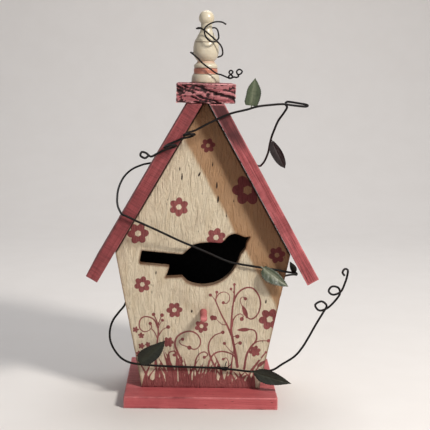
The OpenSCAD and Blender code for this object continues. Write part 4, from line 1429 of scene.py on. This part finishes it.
@dataclass
class Leaf:
    """A pressed tin leaf: outline, fold, curl, side veins and a stem that meets the wire.

    The outline gives the half width as a share of the greatest, at even steps from stem to tip.
    """

    node: str
    name: str
    slot: str
    base: tuple[float, float, float]
    long: float
    wide: float
    angle: float
    lean: float
    roll: float = 0.0
    upper: tuple[float, ...] = OVAL
    lower: tuple[float, ...] = OVAL
    fold: float = 1.2
    droop: float = 2.0
    curl_up: float = 0.0
    thick: float = 0.5
    veins: int = 6
    notch: float = 0.15
    stalk: float = 0.06

    def half(self, share: float, side: float) -> float:
        """Half width at a share of the length, in millimetres."""
        table = self.upper if side > 0 else self.lower
        spot = min(max(share, 0.0), 1.0) * (len(table) - 1)
        k = min(int(spot), len(table) - 2)
        value = between(table[max(k - 1, 0)], table[k], table[k + 1], table[min(k + 2, len(table) - 1)], spot - k)
        return max(value, 0.0) * self.wide / 2

    def placing(self) -> Matrix:
        """The leaf's place: stem at the base, length along the leaf's angle."""
        spin = Matrix.Rotation(math.radians(-self.angle), 4, "Y")
        tilt = Matrix.Rotation(math.radians(-self.lean), 4, "Z")
        flat = Matrix.Rotation(math.radians(90 + self.roll), 4, "X")
        return Matrix.Translation(Vector(self.base) * MM) @ spin @ tilt @ flat

    def build(self, finish: Finish) -> bpy.types.Object:
        """Make the leaf.

        Args:
            finish: its finish.

        Returns:
            The piece.
        """
        mesh = bmesh.new()
        bmesh.ops.create_grid(mesh, x_segments=44, y_segments=24, size=1.0)
        off, vein = {}, {}
        for vert in mesh.verts:
            share, side = (vert.co.x + 1) / 2, vert.co.y
            half = self.half(share, side)
            saw = 1 - self.notch * (0.5 + 0.5 * math.sin(share * self.veins * 2.6 * math.tau)) * abs(side) ** 6 * 0.5
            y = side * half * saw
            x = self.long * (self.stalk + (1 - self.stalk) * share)
            rib = abs(((share - abs(side) * 0.22) * self.veins) % 1.0 - 0.5)
            groove = max(0.0, 1 - rib * 7) * (1 - abs(side) ** 3) * min(1.0, share * 5)
            middle = max(0.0, 1 - abs(y) / 0.7)
            z = (self.fold * abs(side) ** 1.4 * math.sin(math.pi * min(share * 1.1, 1)) - self.droop * share ** 2
                 + self.curl_up * max(0.0, side) ** 3 * math.sin(math.pi * share)
                 + 0.45 * noise.noise(Vector((x * 0.14, y * 0.2, self.long))) - 0.28 * groove - 0.35 * middle)
            off[vert.index] = abs(side)
            vein[vert.index] = max(groove * 0.7, middle)
            vert.co = Vector((x, y, z)) * MM
        mesh.verts.ensure_lookup_table()
        layer_off = mesh.verts.layers.float.new("off_middle")
        layer_vein = mesh.verts.layers.float.new("vein")
        for vert in mesh.verts:
            vert[layer_off], vert[layer_vein] = off[vert.index], vein[vert.index]
        bmesh.ops.remove_doubles(mesh, verts=mesh.verts, dist=2e-5)
        shell = bmesh.ops.extrude_face_region(mesh, geom=mesh.faces[:])["geom"]
        bmesh.ops.translate(mesh, verts=verts_of(shell), vec=Vector((0, 0, -self.thick * MM)))
        stem = bmesh.ops.create_cone(mesh, cap_ends=True, segments=12, radius1=0.65 * MM, radius2=0.45 * MM,
                                     depth=(1 + self.long * 0.16) * MM)
        lying = Matrix.Rotation(math.radians(90), 4, "Y")
        at_foot = Matrix.Translation(Vector((self.long * 0.08 - 0.5, 0, -0.2)) * MM)
        bmesh.ops.transform(mesh, matrix=at_foot @ lying, verts=stem["verts"])
        bmesh.ops.transform(mesh, matrix=self.placing(), verts=mesh.verts)
        bmesh.ops.recalc_face_normals(mesh, faces=mesh.faces)
        return new_piece(self.name, self.node, mesh, finish, 60)


# --- Studio ------------------------------------------------------------------------------------


@dataclass
class Studio:
    """Pale floor and backdrop, soft lights, and the camera."""

    camera_place: tuple[float, float, float] = (-13.10, -954.62, 303.11)
    yaw: float = 1.462
    pitch: float = 7.987
    roll: float = -1.137
    lens: float = 85.14
    floor_tone: Colour = field(default_factory=lambda: tone(214, 209, 205))

    def camera(self) -> None:
        """Place the camera."""
        y, p, r = (math.radians(v) for v in (self.yaw, self.pitch, self.roll))
        ahead = Vector((math.sin(y) * math.cos(p), math.cos(y) * math.cos(p), -math.sin(p)))
        right = Vector((math.cos(y), -math.sin(y), 0))
        up = right.cross(ahead)
        right, up = math.cos(r) * right - math.sin(r) * up, math.sin(r) * right + math.cos(r) * up
        data = bpy.data.cameras.new("front_camera")
        data.lens, data.sensor_width, data.clip_start = self.lens, 36.0, 0.01
        obj = new_object("front_camera", data)
        obj.matrix_world = Matrix.Translation(Vector(self.camera_place) * MM) @ Matrix(
            (right, up, -ahead)).transposed().to_4x4()
        bpy.context.scene.camera = obj

    def lamp(self, name: str, place: tuple[float, float, float], size: float, power: float, colour: Colour) -> None:
        """An area light that looks at the house.

        Args:
            name: the light's name.
            place: its place in metres.
            size: its side in metres.
            power: its power in watts.
            colour: its colour.
        """
        data = bpy.data.lights.new(name, "AREA")
        data.size, data.energy, data.color = size, power, colour[:3]
        obj = new_object(name, data)
        obj.location = place
        obj.rotation_euler = (Vector((0, 0, 0.15)) - Vector(place)).to_track_quat("-Z", "Y").to_euler()

    def backdrop(self) -> None:
        """A floor that curves up into a wall behind."""
        mesh = bmesh.new()
        line = [mesh.verts.new(p) for p in ((-4, -3, 0), (-4, 1.6, 0), (-4, 1.6, 3.2))]
        for pair in zip(line, line[1:]):
            mesh.edges.new(pair)
        bmesh.ops.bevel(mesh, geom=[line[1]], offset=0.7, segments=16, profile=0.5, affect="VERTICES", material=-1)
        swept = bmesh.ops.extrude_edge_only(mesh, edges=mesh.edges[:])
        bmesh.ops.translate(mesh, verts=verts_of(swept["geom"]), vec=(8, 0, 0))
        bmesh.ops.recalc_face_normals(mesh, faces=mesh.faces)
        data = bpy.data.meshes.new("studio_sweep")
        mesh.to_mesh(data)
        mesh.free()
        data.shade_smooth()
        obj = new_object("studio_sweep", data)
        paper = Finish("studio_paper")
        weave = paper.cloud(paper.place, scale=0.02, detail=3.0)
        paper.put(paper.shader.inputs["Base Color"],
                  paper.mix(paper.step(weave, 0.3, 0.7, 0.2), self.floor_tone, tone(206, 200, 195)))
        paper.shader.inputs["Roughness"].default_value = 0.85
        paper.dress(obj)

    def build(self) -> None:
        """Make the studio."""
        self.camera()
        self.backdrop()
        self.lamp("key_light", (0.80, -0.86, 1.08), 0.26, 23, (1.0, 0.97, 0.92, 1))
        self.lamp("front_fill", (-0.6, -1.6, 0.35), 1.0, 4.2, (1.0, 0.97, 0.94, 1))
        self.lamp("back_light", (0.1, 0.7, 1.5), 1.2, 14, (0.96, 0.98, 1.0, 1))
        world = bpy.data.worlds.new("soft_room")
        world.use_nodes = True
        backing = world.node_tree.nodes["Background"]
        backing.inputs["Color"].default_value = (0.90, 0.93, 1.0, 1)
        backing.inputs["Strength"].default_value = 0.27
        bpy.context.scene.world = world
        bpy.context.scene.view_settings.view_transform = "Standard"


# --- The whole house ---------------------------------------------------------------------------


def build_body() -> None:
    """Make every board and turned piece."""
    base_red, base_dark, base_light = tone(176, 83, 85), tone(140, 56, 60), tone(216, 128, 128)
    roof_dark = tone(104, 42, 44)
    base = WoodPaint("base_red", base_red, base_dark, base_light, Run.LEVEL, fibre=0.22, wear=0.85, blotch=0.22,
                     rough=0.5).build()
    # The left board's colours are darker copies of the right board's: painted shade on the left roof board.
    left = WoodPaint("roof_red_left_shaded", tone(140, 63, 65), roof_dark, tone(178, 100, 102), Run.LEFT_SLOPE, saw=0.42,
                     edge_grime_and_shade=0.7, wear=0.45).build()
    right = WoodPaint("roof_red_right", tone(172, 84, 87), roof_dark, tone(208, 128, 130), Run.RIGHT_SLOPE, saw=0.20,
                      fibre=0.5, ridge_darkening=0.85).build()
    # The cap's near-black hollow colour paints shade into its deep splits.
    cap = WoodPaint("cap_red", tone(162, 82, 88), tone(84, 35, 38), tone(238, 174, 174), Run.LEVEL, wear=1.0,
                    hollow=tone(18, 7, 9), fibre=0.42, blotch=0.4, saw=0.2).build()
    panel = PanelPaint().build()
    cream = PanelPaint("cream_plain", printed=False).build()
    Board("base_board", "base_board_sawn", Run.LEVEL, "base_paint", grid=2.6, relief=0.07, nick=0.35,
          easing=0.7).build(base)
    FrontPanel("front_panel", "front_panel_printed", Run.UPRIGHT, "cream_paint", relief=0.22, nick=0.6,
               easing=0.45).build(panel)
    for node, name in (("back_panel", "back_panel_sawn"), ("left_wall", "left_wall_sawn"),
                       ("right_wall", "right_wall_sawn")):
        Board(node, name, Run.UPRIGHT, "cream_paint", grid=2.2, relief=0.2, seed=len(name)).build(cream)
    Board("clean_out_door", "door_sawn", Run.UPRIGHT, "cream_paint", "door", 1.6, 0.5, 0.15, seed=40).build(cream)
    Board("left_roof_board", "left_roof_sawn", Run.LEFT_SLOPE, "roof_paint", grid=1.6, relief=0.22, nick=0.8,
          seed=3).build(left)
    Board("right_roof_board", "right_roof_sawn", Run.RIGHT_SLOPE, "roof_paint", grid=1.6, relief=0.22, nick=0.8,
          seed=17).build(right)
    CapBlock("ridge_cap", "ridge_cap_rough", Run.LEVEL, "cap_paint", grid=0.9, relief=0.42, nick=1.0,
             easing=0.8, dark_at=0.5).build(cap)
    Finial().build(TurnedWood().build())
    perch = WoodPaint("perch_red", tone(186, 98, 98), tone(140, 62, 64), tone(222, 150, 146), Run.LEVEL).build()
    Dowel().build(perch)
    brass = Metal("aged_brass", tone(196, 160, 92), tone(120, 88, 50), rough=0.3).build()
    steel = Metal("zinc_steel", tone(176, 178, 182), tone(120, 116, 110), rough=0.34).build()
    Hardware().build(brass, steel, base, cream, right)


def build_trim() -> None:
    """Make the wires and the leaves."""
    wire = Metal("dark_wire", tone(8, 6, 6), tone(30, 20, 16), metallic=0.0, rough=0.5, spread=0.5,
                 scale=0.12, shine=0.22).build()
    steel = Metal("staple_steel", tone(170, 170, 174), tone(110, 104, 98), rough=0.34).build()
    WireWork().build(wire, steel)
    light = TinLeaf("light_green_leaf", tone(66, 76, 54), tone(102, 108, 86), tone(34, 42, 28)).build()
    plum = TinLeaf("plum_leaf", tone(30, 19, 20), tone(42, 30, 29), tone(18, 10, 11)).build()
    green = TinLeaf("green_leaf", tone(48, 57, 36), tone(120, 123, 103), tone(26, 33, 19)).build()
    dark = TinLeaf("dark_green_leaf", tone(25, 28, 17), tone(38, 40, 26), tone(14, 14, 9), 0.48).build()
    Leaf("top_leaf", "top_leaf_pressed", "light_leaf", (40, -54, 273), 26, 14, 84, 12,
         upper=(0.80, 0.98, 0.95, 0.9, 0.88, 0.8, 0.6, 0.3, 0.02),
         lower=(0.75, 0.85, 0.95, 1.0, 1.0, 0.9, 0.65, 0.35, 0.02)).build(light)
    Leaf("upper_right_leaf", "upper_right_leaf_pressed", "plum_leaf", (61.5, -18, 242.5), 29, 12, -64, 8, 8,
         upper=(0.25, 0.45, 0.62, 0.74, 0.78, 0.75, 0.64, 0.45, 0.05),
         lower=(0.35, 0.8, 1.0, 1.04, 1.0, 0.92, 0.76, 0.5, 0.05)).build(plum)
    Leaf("middle_leaf", "middle_leaf_pressed", "green_leaf", (54, -41, 127.5), 30, 16, -34, 12, -15,
         upper=(0.40, 0.5, 0.62, 0.68, 0.66, 0.58, 0.42, 0.25, 0.02),
         lower=(0.60, 1.05, 1.2, 1.2, 1.08, 0.9, 0.65, 0.35, 0.02), curl_up=-1.5, notch=0.55).build(green)
    # The eave leaf sits in the roof's shadow; its dark green finish is painted shade.
    Leaf("eave_leaf", "eave_leaf_pressed", "dark_leaf", (86, -34, 121), 12, 6, 118, 0, droop=1.0, fold=0.6).build(dark)
    Leaf("lower_left_leaf", "lower_left_leaf_pressed", "dark_leaf", (-58, -42, 34.5), 34, 17, 44, 10,
         upper=(0.35, 0.85, 1.0, 0.98, 0.86, 0.7, 0.5, 0.28, 0.02),
         lower=(0.3, 0.7, 0.86, 0.9, 0.92, 0.85, 0.66, 0.38, 0.02)).build(dark)
    Leaf("lower_right_leaf", "lower_right_leaf_pressed", "dark_leaf", (47, -43, 29), 38, 14, -14, 12).build(dark)


def main() -> None:
    """Build the studio, the house and its trim."""
    logging.basicConfig(level=logging.INFO, format="%(message)s")
    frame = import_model()
    NODES.update(frame["nodes"])
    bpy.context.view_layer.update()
    Studio().build()
    build_body()
    build_trim()


if __name__ == "__main__":
    main()
